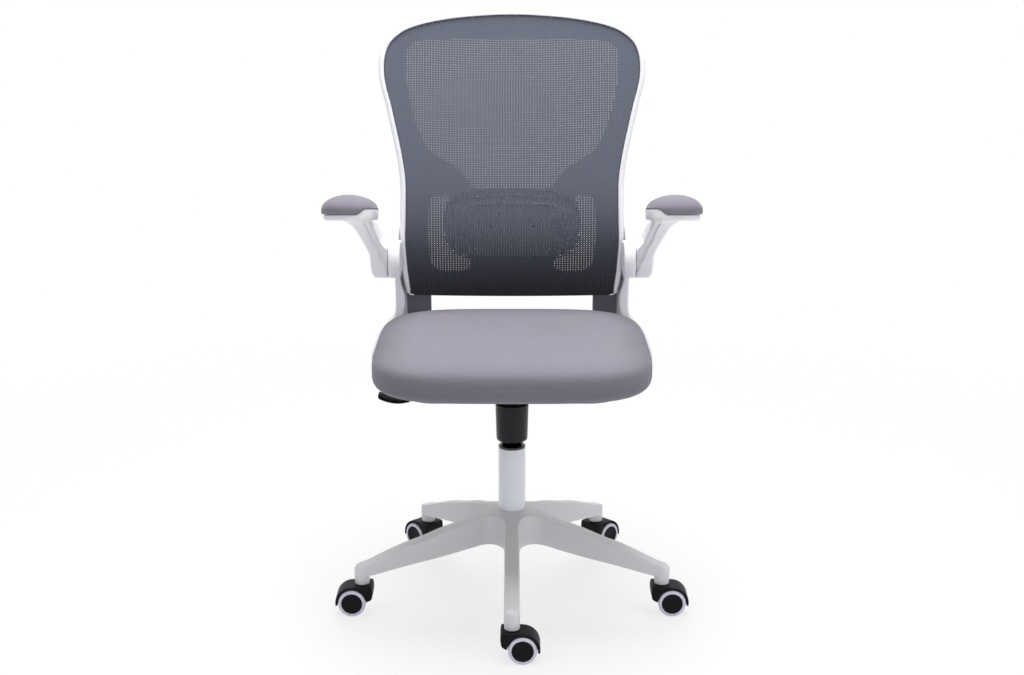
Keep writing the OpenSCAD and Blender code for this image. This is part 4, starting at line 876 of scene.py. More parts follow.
@dataclass
class StarBase:
    """Five-armed base, hollow and ribbed underneath."""

    arms: int = 5
    reach: float = 0.287
    arm_w: float = 0.028
    fillet: float = 0.035
    draft: float = 0.0012
    edge_r: float = 0.002
    wall: float = 0.0035
    rib_t: float = 0.003
    hub_r: float = 0.0252
    tube_r: float = 0.031
    socket_r: float = 0.0138
    stem_r: float = 0.0056
    top_shares: Table = (
        (0, 1), (0.087, 1), (0.15, 0.95), (0.21, 0.885), (0.3, 0.785), (0.341, 0.745), (0.45, 0.65),
        (0.6, 0.475), (0.73, 0.345), (0.87, 0.16), (0.95, 0.045), (1, 0), (1.03, -0.03), (1.046, -0.09),
        (1.052, -0.18),
    )
    low_shares: Table = ((0, 1), (0.174, 1), (0.45, 0.62), (0.73, 0.3), (0.95, 0.02), (1.052, 0))
    cross_shares: Row = (0.36, 0.54, 0.72, 0.86)
    hub_top: float = 0.171
    hub_low: float = 0.11
    end_top: float = 0.093
    end_low: float = 0.0735
    tube_low: float = 0.1005
    socket_low: float = 0.0572
    socket_foot: float = 0.012
    socket_draft: float = 0.0005
    socket_sunk: float = 0.006
    lip_drop: float = 0.0006
    wall_shares: Row = (0.35, 0.7, 1.0)
    rib_bite: float = 0.8
    rib_gap: float = 0.001
    fill_pitch: float = 0.012
    tip_steps: int = 18
    run_steps: int = 26
    turn_steps: int = 22
    run_gap: float = 0.002

    def level(self, shares: Sequence, hub: float, end: float, at: Array) -> Array:
        """Height of an edge at a distance from the axis, from its table of shares."""
        table = smooth_line(shares, 6)
        return np.interp(at / self.reach, table[:, 0], end + (hub - end) * table[:, 1])

    def top(self, flat: Array) -> Array:
        """Height of the top face over flat points."""
        return self.level(self.top_shares, self.hub_top, self.end_top, np.linalg.norm(flat, axis=-1))

    def low(self, flat: Array) -> Array:
        """Height of the lower edge under flat points."""
        return self.level(self.low_shares, self.hub_low, self.end_low, np.linalg.norm(flat, axis=-1))

    def outline(self, inward: float) -> Array:
        """Outline of the star: a half circle round each arm's end and a fillet between two arms.

        Args:
            inward: how far the outline is moved inwards.

        Returns:
            The outline.
        """
        half, fillet, half_step = self.arm_w / 2 - inward, self.fillet + inward, math.pi / self.arms
        out = (half + fillet) / math.sin(half_step)
        tip = np.radians(np.linspace(-90, 90, self.tip_steps))
        turn = np.radians(np.linspace(270, 90 + 360 / self.arms, self.turn_steps))
        near = out * math.cos(half_step)
        run = np.linspace(self.reach - self.run_gap, near + self.run_gap, self.run_steps)[:, None]
        arc = np.vstack([
            [self.reach, 0] + half * on_circle(tip),
            np.hstack([run, 0 * run + half]),
            [near, half + fillet] + fillet * on_circle(turn),
        ])
        back = (arc[self.tip_steps:self.tip_steps + self.run_steps] * [1, -1])[::-1]
        arm = np.vstack([back, arc])
        angles = -math.pi / 2 + 2 * math.pi * np.arange(self.arms) / self.arms
        c, s = np.cos(angles)[:, None], np.sin(angles)[:, None]
        x, y = arm.T
        return np.stack([c * x - s * y, s * x + c * y], axis=-1).reshape(-1, 2)

    def skin(self) -> Patch:
        """Outer face, lower edge and hollow inside of the star.

        Rows go from the top face over its rounded edge, down the drafted wall, round the lower
        edge and up the inner wall. Height is measured from the top or from the lower edge.

        Returns:
            The patch, with holes for the hub's tube.
        """
        edge_r, wall = self.edge_r, self.wall
        turn = np.linspace(0, np.pi / 2, 6)
        rows = [(self.draft + edge_r * (1 - math.sin(t)), -edge_r * (1 - math.cos(t)), 0) for t in turn]
        rows += [(self.draft * (1 - t), 0, t) for t in self.wall_shares]
        rows += [(wall / 2, -self.lip_drop, 1.0), (wall, 0, 1.0), (wall, -wall, 0)]
        grid = []
        for inward, lift, share in rows:
            flat = self.outline(inward)
            high, low = self.top(flat), self.low(flat)
            grid.append(np.column_stack([flat, high + (low - high) * share + lift]))
        circle = on_circle(round_turn(72))
        patches = [grid_patch(np.stack(grid), around=True)]
        for row, hole, lift in ((0, self.hub_r, 0.0), (-1, self.tube_r, -wall)):
            flat, tris = filled([counter_clockwise(grid[row][:, :2]), circle * hole], self.fill_pitch)
            patches.append(Patch(np.column_stack([flat, self.top(flat) + lift]), NO_QUADS, tris))
        return joined(patches)

    def rib(self, start: Sequence[float], end: Sequence[float]) -> Patch:
        """Upright wall between two places on the plan, from near the lower edge to the top's inside.

        Args:
            start: one end on the plan.
            end: the other end.

        Returns:
            The patch.
        """
        t = np.linspace(0, 1, 16)[:, None]
        line = np.asarray(start) * (1 - t) + np.asarray(end) * t
        side = np.array([start[1] - end[1], end[0] - start[0]])
        side = side / np.linalg.norm(side) * self.rib_t / 2
        high, low = self.top(line) - self.rib_bite * self.wall, self.low(line) + self.rib_gap
        corners = [np.column_stack([line + s * side, z])
                   for s, z in ((1, high), (-1, high), (-1, low), (1, low))]
        return loft(np.stack(corners, axis=1))

    def build(self) -> None:
        """Base with its hub tube, stem sockets and ribs."""
        hub = np.array([[self.hub_r, self.tube_low], [self.tube_r, self.tube_low],
                        [self.tube_r, self.hub_top - self.wall], [self.hub_r, self.hub_top]])
        low, high = self.socket_low, self.end_top - self.socket_sunk
        corners = [[self.stem_r, low], [self.socket_r - self.socket_draft, low],
                   [self.socket_r, low + self.socket_foot], [self.socket_r, high], [self.stem_r, high]]
        socket = rounded(np.array(corners), 0.001, 4)
        patches = [self.skin(), lathe(hub, (0, 0, 0))]
        for k in range(self.arms):
            a = -math.pi / 2 + 2 * math.pi * k / self.arms
            ahead = np.array([math.cos(a), math.sin(a)])
            aside = np.array([-ahead[1], ahead[0]])
            patches.append(lathe(socket, (*ahead * self.reach, 0), count=40))
            patches.append(self.rib(ahead * self.tube_r, ahead * (self.reach - self.socket_r)))
            half = aside * (self.arm_w / 2 - self.wall / 2)
            patches += [self.rib(ahead * s * self.reach - half, ahead * s * self.reach + half)
                        for s in self.cross_shares]
        add_piece("star_base_body", joined(patches), BASE_GREY, "base", ["star_base"])
        dress_node("caster_stems", STEEL)


@dataclass
class Casters:
    """Five twin-wheel casters with hoods."""

    reach: float = 0.287
    trail: float = 0.018
    wheel_r: float = 0.025
    core_r: float = 0.019
    inner_y: float = 0.007
    outer_y: float = 0.0245
    hood_half_w: float = 0.023
    hood_front: float = 0.019
    hood_top: float = 0.0562
    well_r: float = 0.0264
    fender_r: float = 0.0304
    fender_turn: tuple[float, float] = (74, -8)
    hood_rear: float = 0.014
    skirt_x: float = -0.007
    skirt_z: float = 0.0272
    skirt_front_z: float = 0.0305
    corner_rs: Row = (0.0, 0.006, 0.0025, 0.016, 0.0)
    shell_rs: Row = (0.0048, 0.0048, 0.0008, 0.0008)
    shell_least: float = 0.0004
    web_r: float = 0.012
    web_gap: float = 0.0006
    tread_rs: Row = (0.0002, 0.0022, 0.0035, 0.0006)
    headings: Row = (0, 0, 45, 135, 180)

    def hood(self) -> Patch:
        """Hood with its fender, and the web between the wheels.

        Seen from the side, at angle a about the axle, the shell reaches from the wheel well's
        radius to the outline's radius. Its outer corners are rounded.

        Returns:
            The patch, with the caster's stem at the origin.
        """
        corners = np.array([[self.skirt_x, self.skirt_z], [-self.hood_front, self.skirt_front_z],
                            [-self.hood_front, self.hood_top], [self.hood_rear, self.hood_top]])
        axle = np.array([self.trail, self.wheel_r])
        arc = axle + self.fender_r * on_circle(np.radians(np.linspace(*self.fender_turn, 30)))
        soft_corners = rounded(np.vstack([corners, arc[:1]]), self.corner_rs, 6)[6:-6]
        line = np.vstack([corners[:1], soft_corners, arc])
        polar = line - axle
        angle, radius = np.unwrap(np.arctan2(polar[:, 1], polar[:, 0])), np.linalg.norm(polar, axis=1)
        at = np.linspace(angle[-1], angle[0] - 0.02, 110)
        order = np.argsort(angle)
        outer = np.interp(at, angle[order], radius[order])
        far = axle + on_circle(at) * np.maximum(outer, self.well_r + self.shell_least)[:, None]
        near = axle + on_circle(at) * self.well_r
        half = np.full(len(at), self.hood_half_w)
        ring = np.stack([np.column_stack([p[:, 0], s * half, p[:, 1]])
                         for p, s in ((far, -1), (far, 1), (near, 1), (near, -1))], axis=1)
        shell = loft(rounded(ring, self.shell_rs, 7))
        lobe = axle + self.web_r * on_circle(np.radians(np.linspace(-30, -150, 12)))
        web_line = np.vstack([line, lobe])
        web_w = 2 * self.inner_y - self.web_gap

        def upright(flat: Array, depth: Array) -> Array:
            """Puts the web's side view across the middle of the caster."""
            return np.column_stack([flat[:, 0], depth - web_w / 2, flat[:, 1]])

        return joined([shell, plate([web_line], upright, web_w, 0.0006, 0.006, 3)])

    def wheel(self, profile: Sequence) -> Patch:
        """Both wheels' parts, turned about the axle from a profile of (radius, distance from the gap).

        Args:
            profile: the profile's points.

        Returns:
            The patch of both parts.
        """
        line = np.asarray(profile, float)
        place = (self.trail, 0.0, self.wheel_r)
        both = [lathe(line * [1, s] + [0, s * self.inner_y], place, "y", 64) for s in (1, -1)]
        return joined(both)

    def build(self) -> None:
        """All casters, each on its own two bodies."""
        w = self.outer_y - self.inner_y
        r, tyre_r = self.core_r, self.wheel_r
        tread = [[r, 0], [tyre_r, 0], [tyre_r, w - 0.0008], [r, w - 0.0002]]
        tread = rounded(np.array(tread), self.tread_rs, 6)
        core = [[0.0, 0.001], [r - 0.0001, 0.001], [r - 0.0001, w - 0.0012], [r - 0.0009, w - 0.0001],
                [r - 0.0016, w + 0.0001], [r * 0.8, w - 0.0003], [r * 0.5, w - 0.0008], [0.0, w - 0.001]]
        parts = (("hood", self.hood(), BLACK, "caster", "black_plastic", "caster_hood"),
                 ("core", self.wheel(core), BLACK, "wheels", "black_plastic", "caster_wheels"),
                 ("tread", self.wheel(tread), TREAD, "wheels", "tread", "caster_treads"))
        for k, heading in enumerate(self.headings):
            a = -math.pi / 2 + 2 * math.pi * k / len(self.headings)
            centre = (self.reach * math.cos(a), self.reach * math.sin(a), 0)
            n = k + 1
            for name, patch, finish, body, slot, node in parts:
                here = turned(patch, math.radians(heading), centre)
                add_piece(f"caster_{name}_{n}", here, finish, f"{body}_{n}", [f"{node}_{n}"])
            dress_node(f"caster_axle_{n}", STEEL)


@dataclass
class GasLift:
    """Column, collar and black cup under the seat."""

    column_r: float = 0.025
    column_low: float = 0.097
    column_top: float = 0.2885
    hub_top: float = 0.171
    collar_h: float = 0.0115
    rod_hole_r: float = 0.0143
    cup_r: float = 0.0305
    cup_low: float = 0.303
    cup_top: float = 0.374
    cup_gap: float = 0.0009
    cup_wall: float = 0.0012
    cup_draft: float = 0.0018
    cup_foot: float = 0.0035
    cup_chamfer: float = 0.0026
    cup_ceiling: float = 0.0025
    wall: float = 0.002
    taper: float = 0.0009
    collar_deep: float = 0.012
    collar_play: float = 0.0001
    collar_shares: Table = ((0, 0.34), (0.0014, 0.42), (0.006, 0.8), (0.008, 1))

    def build(self) -> None:
        """Turned parts of the lift, and finishes for the inner ones."""
        r, inner = self.column_r, self.column_r - self.wall
        column = np.array([[inner, self.column_top], [inner, self.column_low],
                           [r - self.taper, self.column_low], [r, self.hub_top], [r, self.column_top]])
        add_piece("column_tube", lathe(rounded(column, 0.0008, 4), (0, 0, 0), count=96), TUBE_WHITE, "base",
                  ["lift_column"])
        z, h, play = self.column_top, self.collar_h, self.collar_play
        low = [[self.rod_hole_r, z - self.collar_deep], [inner - play, z - self.collar_deep],
               [inner - play, z + play], [r, z + play]]
        high = [[r - back, z + share * h] for back, share in self.collar_shares]
        collar = np.array([*low, *high, [self.rod_hole_r, z + h]])
        add_piece("guide_collar", lathe(rounded(collar, 0.0009, 4), (0, 0, 0), count=96), GLOSS_BLACK, "base",
                  ["lift_bushing"])
        low, top, c = self.cup_low, self.cup_top, self.cup_r
        bore = self.column_r + self.cup_gap
        ceiling, chamfer = top - self.cup_ceiling, self.cup_chamfer
        cup = np.array([[bore, low], [bore + self.cup_wall, low], [c - self.cup_draft, low + self.cup_foot],
                        [c, top - chamfer], [c - chamfer, top], [self.rod_hole_r, top],
                        [self.rod_hole_r, ceiling], [bore, ceiling]])
        add_piece("column_cup", lathe(rounded(cup, 0.0012, 5), (0, 0, 0), count=96), SATIN_BLACK, "lift_head",
                  ["lift_cover"])
        for node in ("lift_rod", "thrust_bearing", "rod_clip", "lift_button"):
            dress_node(node, STEEL)
        dress_node("lift_cylinder", CHROME)


@dataclass
class TiltGear:
    """Height lever, tension knob and the pressed steel under the seat."""

    lever_z: float = 0.405
    lever_r: float = 0.0035
    lever_side: float = 0.015
    lever_drop: float = 0.02
    paddle_root: float = 0.184
    paddle_l: float = 0.059
    paddle_w: float = 0.04
    paddle_t: float = 0.0042
    paddle_low: float = 0.379
    paddle_rise: float = 0.015
    knob_r: float = 0.022
    knob_low: float = 0.351
    knob_h: float = 0.018
    knob_y: float = 0.068
    flutes: int = 10
    flute_deep: float = 0.0026
    spring_z: float = 0.383
    spring_keep: float = 0.5
    root_share: float = 0.66
    grip_crown: float = 0.0012
    grip_rs: Row = (0.004, 0.004, 0.009, 0.009)
    rod_shares: Table = (
        (-0.054, 0), (0.2, 0), (0.46, 0), (0.52, 0.02), (0.58, 0.13), (0.76, 0.6), (1.0, 0.97),
        (1.06, 1.05),
    )
    grip_shares: Table = ((0, 0.2), (0.25, 0.02), (0.5, 0.05), (0.75, 0.3), (1, 0.72))
    knob_shares: Table = (
        (0.0, 0.0), (0.8, 0.0), (0.97, 0.06), (1.0, 0.25), (1.0, 0.8), (0.96, 0.97), (0.8, 1.0),
        (0.23, 1.0), (0.23, 0.96),
    )

    def rod(self) -> Patch:
        """Bent lever rod: straight through the housing, then down and aside to the paddle.

        Returns:
            The patch.
        """
        places = [(-along * self.paddle_root, -bend * self.lever_side, self.lever_z - bend * self.lever_drop)
                  for along, bend in self.rod_shares]
        path = smooth_line(places, 6)
        return tube(path, self.lever_r)

    def paddle(self) -> Patch:
        """Curved grip: a rounded plan whose height follows the lever's side view.

        Returns:
            The patch of the grip and its boss.
        """
        x0, x1, w = -self.paddle_root, -self.paddle_root - self.paddle_l, self.paddle_w / 2
        root_w = w * self.root_share
        corners = np.array([[x0, -root_w], [x0, root_w], [x1, w], [x1, -w]]) - [0, self.lever_side]
        plan = even_line(rounded(corners, self.grip_rs, 8), 120, closed=True)
        side = smooth_line(self.grip_shares, 6)

        def curved(flat: Array, depth: Array) -> Array:
            """Lifts a point to the side view's height at its distance from the root.

            Args:
                flat: places on the flat form.
                depth: depths under its face.

            Returns:
                The points in space.
            """
            share = (x0 - flat[:, 0]) / self.paddle_l
            crown = self.grip_crown * (1 - ((flat[:, 1] + self.lever_side) / w) ** 2)
            high = self.paddle_low + self.paddle_rise * np.interp(share, side[:, 0], side[:, 1])
            return np.column_stack([flat, high + depth + crown * (depth / self.paddle_t)])

        boss = np.array([[0, -0.009], [0.0054, -0.009], [0.0054, 0.012], [0, 0.012]])
        centre = (x0, -self.lever_side, self.lever_z - self.lever_drop)
        return joined([plate([plan], curved, self.paddle_t, 0.0018, 0.005),
                       lathe(rounded(boss, [0, 0.0015, 0.0015, 0], 4), centre, "x", 32)])

    def knob(self) -> Patch:
        """Fluted knob: its radius dips by a cosine flute^4 curve, most at mid height.

        Returns:
            The patch.
        """
        a = round_turn(240)[None]
        shares = smooth_line(self.knob_shares, 5)
        dip = (0.5 + 0.5 * np.cos(self.flutes * a)) ** 4
        r = self.knob_r * shares[:, 0:1] - self.flute_deep * dip * np.clip(shares[:, 0:1] - 0.55, 0, 1) * 2
        z = np.broadcast_to(self.knob_low + self.knob_h * shares[:, 1:2], r.shape)
        return grid_patch(np.stack([r * np.cos(a), r * np.sin(a) + self.knob_y, z], axis=-1), around=True)

    def build(self) -> None:
        """Lever, knob and finishes for the steel parts."""
        add_piece("lever_bar", self.rod(), STEEL, "lever", ["lever_rod"])
        add_piece("lever_grip", self.paddle(), BLACK, "lever", ["lever_paddle"])
        add_piece("tension_grip", self.knob(), BLACK, "knob", ["tension_knob"])
        dress_node("lever_bushing", BLACK)
        for node in ("tilt_housing", "seat_plate"):
            dress_node(node, BLACK_STEEL)
        for node in ("tilt_pin", "tension_screw", "tension_nut", "seat_bolts", "bracket_bolts"):
            dress_node(node, STEEL)
        dress_node("tension_spring", STEEL)
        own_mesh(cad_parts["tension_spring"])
        dress_node("seat_board", PLYWOOD)


@dataclass
class Upholstery:
    """A padded form on a rounded plan, as one sheet of cloth drawn over it and under it.

    The plan is the set of (a, b) on a square, and r is the greater of |a| and |b|. Up to the
    top's share of r the form falls from its crown to its waist, and past it, it is drawn in
    underneath. The plan's share is |sin|^(2/side) and the height |cos|^(2/side) of one angle,
    which r sets. The plan has one power in front and another behind, and so has the side.
    """

    centre: tuple[float, float]
    half_w: float
    front: float
    rear: float
    plan_power: float
    rear_power: float
    side_powers: tuple[float, float]
    under_power: float
    crown_z: float
    waist_z: float
    low_z: float
    low_drop: float
    under_share: float
    count: int = 150
    top_share: float = 0.8

    def grid(self, count: int) -> tuple[Array, Array]:
        """Points of the form and their cloth places.

        A place in the cloth is the direction from the crown times the distance along the surface.

        Args:
            count: points along each side of the square.

        Returns:
            Points, shape (count, count, 3), and places, shape (count, count, 2).
        """
        t = np.linspace(-1, 1, count)
        a, b = np.meshgrid(t, t, indexing="ij")
        r = np.maximum(np.maximum(np.abs(a), np.abs(b)), NO_SPAN)
        power = np.where(b > 0, self.rear_power, self.plan_power)
        stretch = r / np.maximum((np.abs(a) ** power + np.abs(b) ** power) ** (1 / power), NO_SPAN)
        ua, ub = a / r * stretch, b / r * stretch
        steps = np.linspace(0, 1, 400)
        sections = [self.section(steps, power) for power in self.side_powers]
        behind = step_up(ub, -0.3, 0.7)
        (flat, z), (flat_behind, z_behind) = ([np.interp(r, steps, values) for values in s] for s in sections)
        flat = flat * (1 - behind) + flat_behind * behind
        z = z * (1 - behind) + z_behind * behind
        share, height = sections[0]
        half_y = np.where(ub > 0, self.rear, self.front)
        x = self.centre[0] + self.half_w * ua * flat
        y = self.centre[1] + half_y * ub * flat
        run = np.hypot(self.half_w * ua, half_y * ub)
        along = np.concatenate([[0], np.cumsum(np.abs(np.diff(share)))])
        rise = np.concatenate([[0], np.cumsum(np.abs(np.diff(height)))])
        length = np.hypot(run * np.interp(r, steps, along), np.interp(r, steps, rise))
        way = np.stack([self.half_w * ua, half_y * ub], axis=-1) / np.maximum(run, NO_SPAN)[..., None]
        return np.stack([x, y, z], axis=-1), way * length[..., None]

    def section(self, steps: Array, power: float) -> tuple[Array, Array]:
        """Share of the plan and height along the section, from the crown to the edge underneath.

        Args:
            steps: steps from 0 at the crown to 1 underneath.
            power: 2 for a round side, more for a squarer one.

        Returns:
            The shares and the heights.
        """
        angle = np.clip(steps / self.top_share, 0, 1) * np.pi / 2
        top = np.sin(angle) ** (2 / power), np.cos(angle) ** (2 / power)
        under = np.clip((steps - self.top_share) / (1 - self.top_share), 0, 1) * np.pi / 2
        drawn = np.cos(under) ** (2 / self.under_power), np.sin(under) ** (2 / self.under_power)
        above = steps <= self.top_share
        share = np.where(above, top[0], self.under_share + (1 - self.under_share) * drawn[0])
        height = np.where(above, self.waist_z + (self.crown_z - self.waist_z) * top[1],
                          self.waist_z - self.low_drop * drawn[1])
        return share, np.maximum(height, self.low_z)

    def rim(self, count: int) -> Array:
        """Indices of the points round the edge of a square grid, in order."""
        index = np.arange(count * count).reshape(count, count)
        return np.concatenate([index[0, :-1], index[:-1, -1], index[-1, :0:-1], index[:0:-1, 0]])

    def swell(self, count: int, pressure: float, cap: float, frames: int) -> Array:
        """Cloth simulation of the cover on its stuffing.

        The closed form is blown up gently as cloth, with its lower edge held, for some frames.

        Args:
            count: points along each side of the cage.
            pressure: pressure inside.
            cap: furthest that a point may move.
            frames: frames to simulate.

        Returns:
            How far each point of the cage moved, shape (count, count, 3).
        """
        cage, _ = self.grid(count)
        rim = self.rim(count)
        mesh = bpy.data.meshes.new("cage")
        quads = grid_patch(cage).quads
        mesh.from_pydata(cage.reshape(-1, 3).tolist(), [], [*quads.tolist(), rim[::-1].tolist()])
        made = bpy.data.objects.new("cage", mesh)
        bpy.context.scene.collection.objects.link(made)
        held = made.vertex_groups.new(name="held")
        held.add(rim.tolist(), 1.0, "REPLACE")
        cloth = made.modifiers.new("cloth", "CLOTH")
        cloth.settings.quality = 4
        cloth.settings.tension_stiffness = cloth.settings.compression_stiffness = 25
        cloth.settings.bending_stiffness = 4
        cloth.settings.use_pressure, cloth.settings.uniform_pressure_force = True, pressure
        cloth.settings.effector_weights.gravity = 0
        cloth.settings.vertex_group_mass = "held"
        cloth.point_cache.frame_start, cloth.point_cache.frame_end = 1, frames
        for k in range(1, frames + 1):
            bpy.context.scene.frame_set(k)
        ready = made.evaluated_get(bpy.context.evaluated_depsgraph_get()).to_mesh()
        co = np.zeros(count * count * 3, np.float32)
        ready.vertices.foreach_get("co", co)
        bpy.data.objects.remove(made)
        bpy.context.scene.frame_set(1)
        moved = co.reshape(count, count, 3) - cage
        size = np.linalg.norm(moved, axis=-1, keepdims=True)
        return moved * np.minimum(1, cap / np.maximum(size, NO_SPAN))

    def patch(self, moved: Array | None = None) -> Patch:
        """The closed form: the drawn sheet, moved as the simulation says, and its underside.

        Args:
            moved: how far the points of the cage moved, or None.

        Returns:
            The patch.
        """
        grid, cloth = self.grid(self.count)
        if moved is not None:
            at = np.linspace(0, len(moved) - 1, self.count)
            low = np.clip(at.astype(int), 0, len(moved) - 2)
            f = at - low
            rows = moved[low] * (1 - f)[:, None, None] + moved[low + 1] * f[:, None, None]
            grid = grid + rows[:, low] * (1 - f)[None, :, None] + rows[:, low + 1] * f[None, :, None]
        ring = grid.reshape(-1, 3)[self.rim(self.count)]
        middle = ring.mean(0)
        rows = np.stack([ring * (1 - s) + middle * s for s in (0.0, 0.04, 0.1, 0.4, 0.75, 1.0)])
        places = np.broadcast_to(rows[..., :2], (*rows.shape[:2], 2))
        return joined([grid_patch(grid, cloth=cloth), grid_patch(rows, around=True, cloth=places)])


@dataclass
class Seat:
    """Upholstered seat."""

    sim_frames: int = 20
    proud: float = 0.0015
    waist_z: float = 0.4595
    low_drop: float = 0.0215
    cage: int = 61
    pressure: float = 1.2
    cap: float = 0.002

    def build(self) -> None:
        """Cushion, swelled by a cloth simulation."""
        low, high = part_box("seat_cushion")
        form = Upholstery(
            centre=(0.0, 0.0), half_w=high.x, front=-low.y, rear=high.y, plan_power=4.2, rear_power=4.1,
            side_powers=(5.2, 6.0), under_power=2.2, crown_z=high.z + self.proud, waist_z=self.waist_z,
            low_z=low.z, low_drop=self.low_drop, under_share=0.84, count=170,
        )
        moved = form.swell(self.cage, self.pressure, self.cap, self.sim_frames)
        cushion = add_piece("seat_pad", form.patch(moved), SEAT_CLOTH, "seat", ["seat_cushion"])


@dataclass
class SideBracket:
    """White bracket from under the seat up beside the back, with the arm's pivot block.

    Its section, seen from the front, is pairs of an outer and an inner place. Flat places on it
    are (distance behind the axis, distance along the section).
    """

    pairs: Table = (
        (0.157, 0.415, 0.157, 0.427), (0.235, 0.415, 0.2303, 0.427), (0.2489, 0.4192, 0.2382, 0.4285),
        (0.2582, 0.43, 0.2438, 0.4325), (0.261, 0.445, 0.248, 0.4445), (0.2599, 0.4528, 0.2476, 0.4545),
        (0.2535, 0.4592, 0.2405, 0.4612), (0.2435, 0.47, 0.229, 0.469), (0.2335, 0.4825, 0.2195, 0.479),
        (0.2262, 0.4935, 0.2116, 0.4905), (0.2235, 0.5074, 0.2068, 0.505), (0.223, 0.5305, 0.206, 0.53),
        (0.223, 0.557, 0.2125, 0.557), (0.2235, 0.585, 0.2145, 0.585), (0.226, 0.615, 0.2145, 0.615),
        (0.2272, 0.638, 0.2143, 0.638), (0.2252, 0.655, 0.213, 0.655), (0.22, 0.667, 0.211, 0.667),
        (0.213, 0.6755, 0.2085, 0.6755),
    )
    edges: Table = (
        (0.2, 0.0), (0.206, 0.4216), (0.219, 0.4348), (0.2285, 0.4498), (0.232, 0.4758), (0.2297, 0.5238),
        (0.2239, 0.56), (0.219, 0.5963), (0.2158, 0.6352), (0.209, 0.6618), (0.1926, 0.674),
        (0.176, 0.6688), (0.166, 0.6481), (0.16, 0.6326), (0.1531, 0.617), (0.1531, 0.5911),
        (0.1682, 0.573), (0.1745, 0.5497), (0.1775, 0.5186), (0.1786, 0.4819), (0.1755, 0.4649),
        (0.163, 0.456), (0.14, 0.4536), (0.081, 0.4536), (0.066, 0.448), (0.06, 0.4367), (0.059, 0.4216),
        (0.06, 0.0),
    )
    edge_r: float = 0.003
    pivot_y: float = 0.127
    pivot_z: float = 0.614
    block_r: float = 0.0345
    neck_half: float = 0.029
    block_in: float = 0.208
    block_out: float = 0.23
    block_edge_r: float = 0.0035
    upright_y: float = 0.168
    wall: float = 0.012
    corner_r: float = 0.004
    foot_r: float = 0.012
    flange_t: float = 0.008
    flange_low: float = 0.4611
    flange_high: float = 0.6307
    flange_in: float = 0.157
    flange_out: float = 0.2215
    flange_rs: Row = (0.014, 0.003, 0.003, 0.018)
    lean: Table = (
        (0.4591, 0.2269), (0.5082, 0.2269), (0.5365, 0.2232), (0.56, 0.2176), (0.5883, 0.2139),
        (0.6326, 0.212),
    )
    # Flange faces inside this x, behind this y and above this z get the painted shade.
    flange_shade_in: float = 0.2055
    flange_shade_from: tuple[float, float] = (0.2, 0.457)
    boss_x: float = 0.176
    boss_z: tuple[float, float] = (0.568, 0.618)
    boss_plan: Table = ((0.003, 0.202), (0.008, 0.202), (0.008, 0.228), (0.003, 0.228))

    def section(self) -> tuple[Array, Array]:
        """Smooth pairs along the section, and the distance along their middle line.

        Returns:
            The pairs, one row each, and the distances.
        """
        pairs = smooth_line(self.pairs, 8)
        middle = (pairs[:, :2] + pairs[:, 2:]) / 2
        along = np.concatenate([[0], np.cumsum(np.linalg.norm(np.diff(middle, axis=0), axis=1))])
        return pairs, along

    def sheet(self) -> Patch:
        """Foot, flare and upright as one bent plate.

        Returns:
            The patch.
        """
        pairs, along = self.section()
        middle_z = (pairs[:, 1] + pairs[:, 3]) / 2
        rising = middle_z > middle_z[0] + 1e-5
        outline = np.array([(y, 0.0 if z == 0 else np.interp(z, middle_z[rising], along[rising]))
                            for y, z in self.edges])
        corner_rs = np.full(len(outline), self.corner_r)
        corner_rs[[0, -1]] = self.foot_r
        line = even_line(rounded(outline, corner_rs, 4), 420, closed=True)

        def bent(flat: Array, depth: Array) -> Array:
            """Takes a flat place and depth to the section between its outer and inner line.

            Args:
                flat: places on the flat form.
                depth: depths under its face.

            Returns:
                The points in space.
            """
            at = [np.interp(flat[:, 1], along, pairs[:, k]) for k in range(4)]
            share = depth / self.wall
            x = at[0] * (1 - share) + at[2] * share
            z = at[1] * (1 - share) + at[3] * share
            return np.column_stack([x, flat[:, 0], z])

        return plate([line], bent, self.wall, self.edge_r, 0.005, 6)

    def block(self) -> Patch:
        """Pivot block: a disc with a neck back to the upright.

        Returns:
            The patch.
        """
        a = np.radians(np.linspace(57, 303, 60))
        disc = np.array([self.pivot_y, self.pivot_z]) + self.block_r * on_circle(a)
        neck = np.array([[self.upright_y, self.pivot_z + s * self.neck_half] for s in (-1, 1)])
        line = even_line(np.vstack([disc, neck]), 160, closed=True)

        def across(flat: Array, depth: Array) -> Array:
            """Puts the block's side view between its inner and outer face."""
            return np.column_stack([self.block_out - depth, flat])

        return plate([line], across, self.block_out - self.block_in, self.block_edge_r, 0.008)

    def flange(self) -> Patch:
        """Inner flange behind the back, with its two screw bosses.

        Returns:
            The patch.
        """
        table = np.array(self.lean)
        low, high = self.flange_low, self.flange_high
        corners = np.array([[self.flange_in, low], [self.flange_out, low], [self.flange_out, high],
                            [self.flange_in, high]])
        line = even_line(rounded(corners, self.flange_rs, 8), 220, closed=True)

        def leaned(flat: Array, depth: Array) -> Array:
            """Leans the flange with the back."""
            front = np.interp(flat[:, 1], table[:, 0], table[:, 1])
            return np.column_stack([flat[:, 0], front + depth, flat[:, 1]])

        boss = rounded(np.array(self.boss_plan), 0.0008, 3)
        bosses = [lathe(boss, (self.boss_x, 0, z), "y", 36) for z in self.boss_z]
        return joined([plate([line], leaned, self.flange_t, 0.002, 0.01), *bosses])

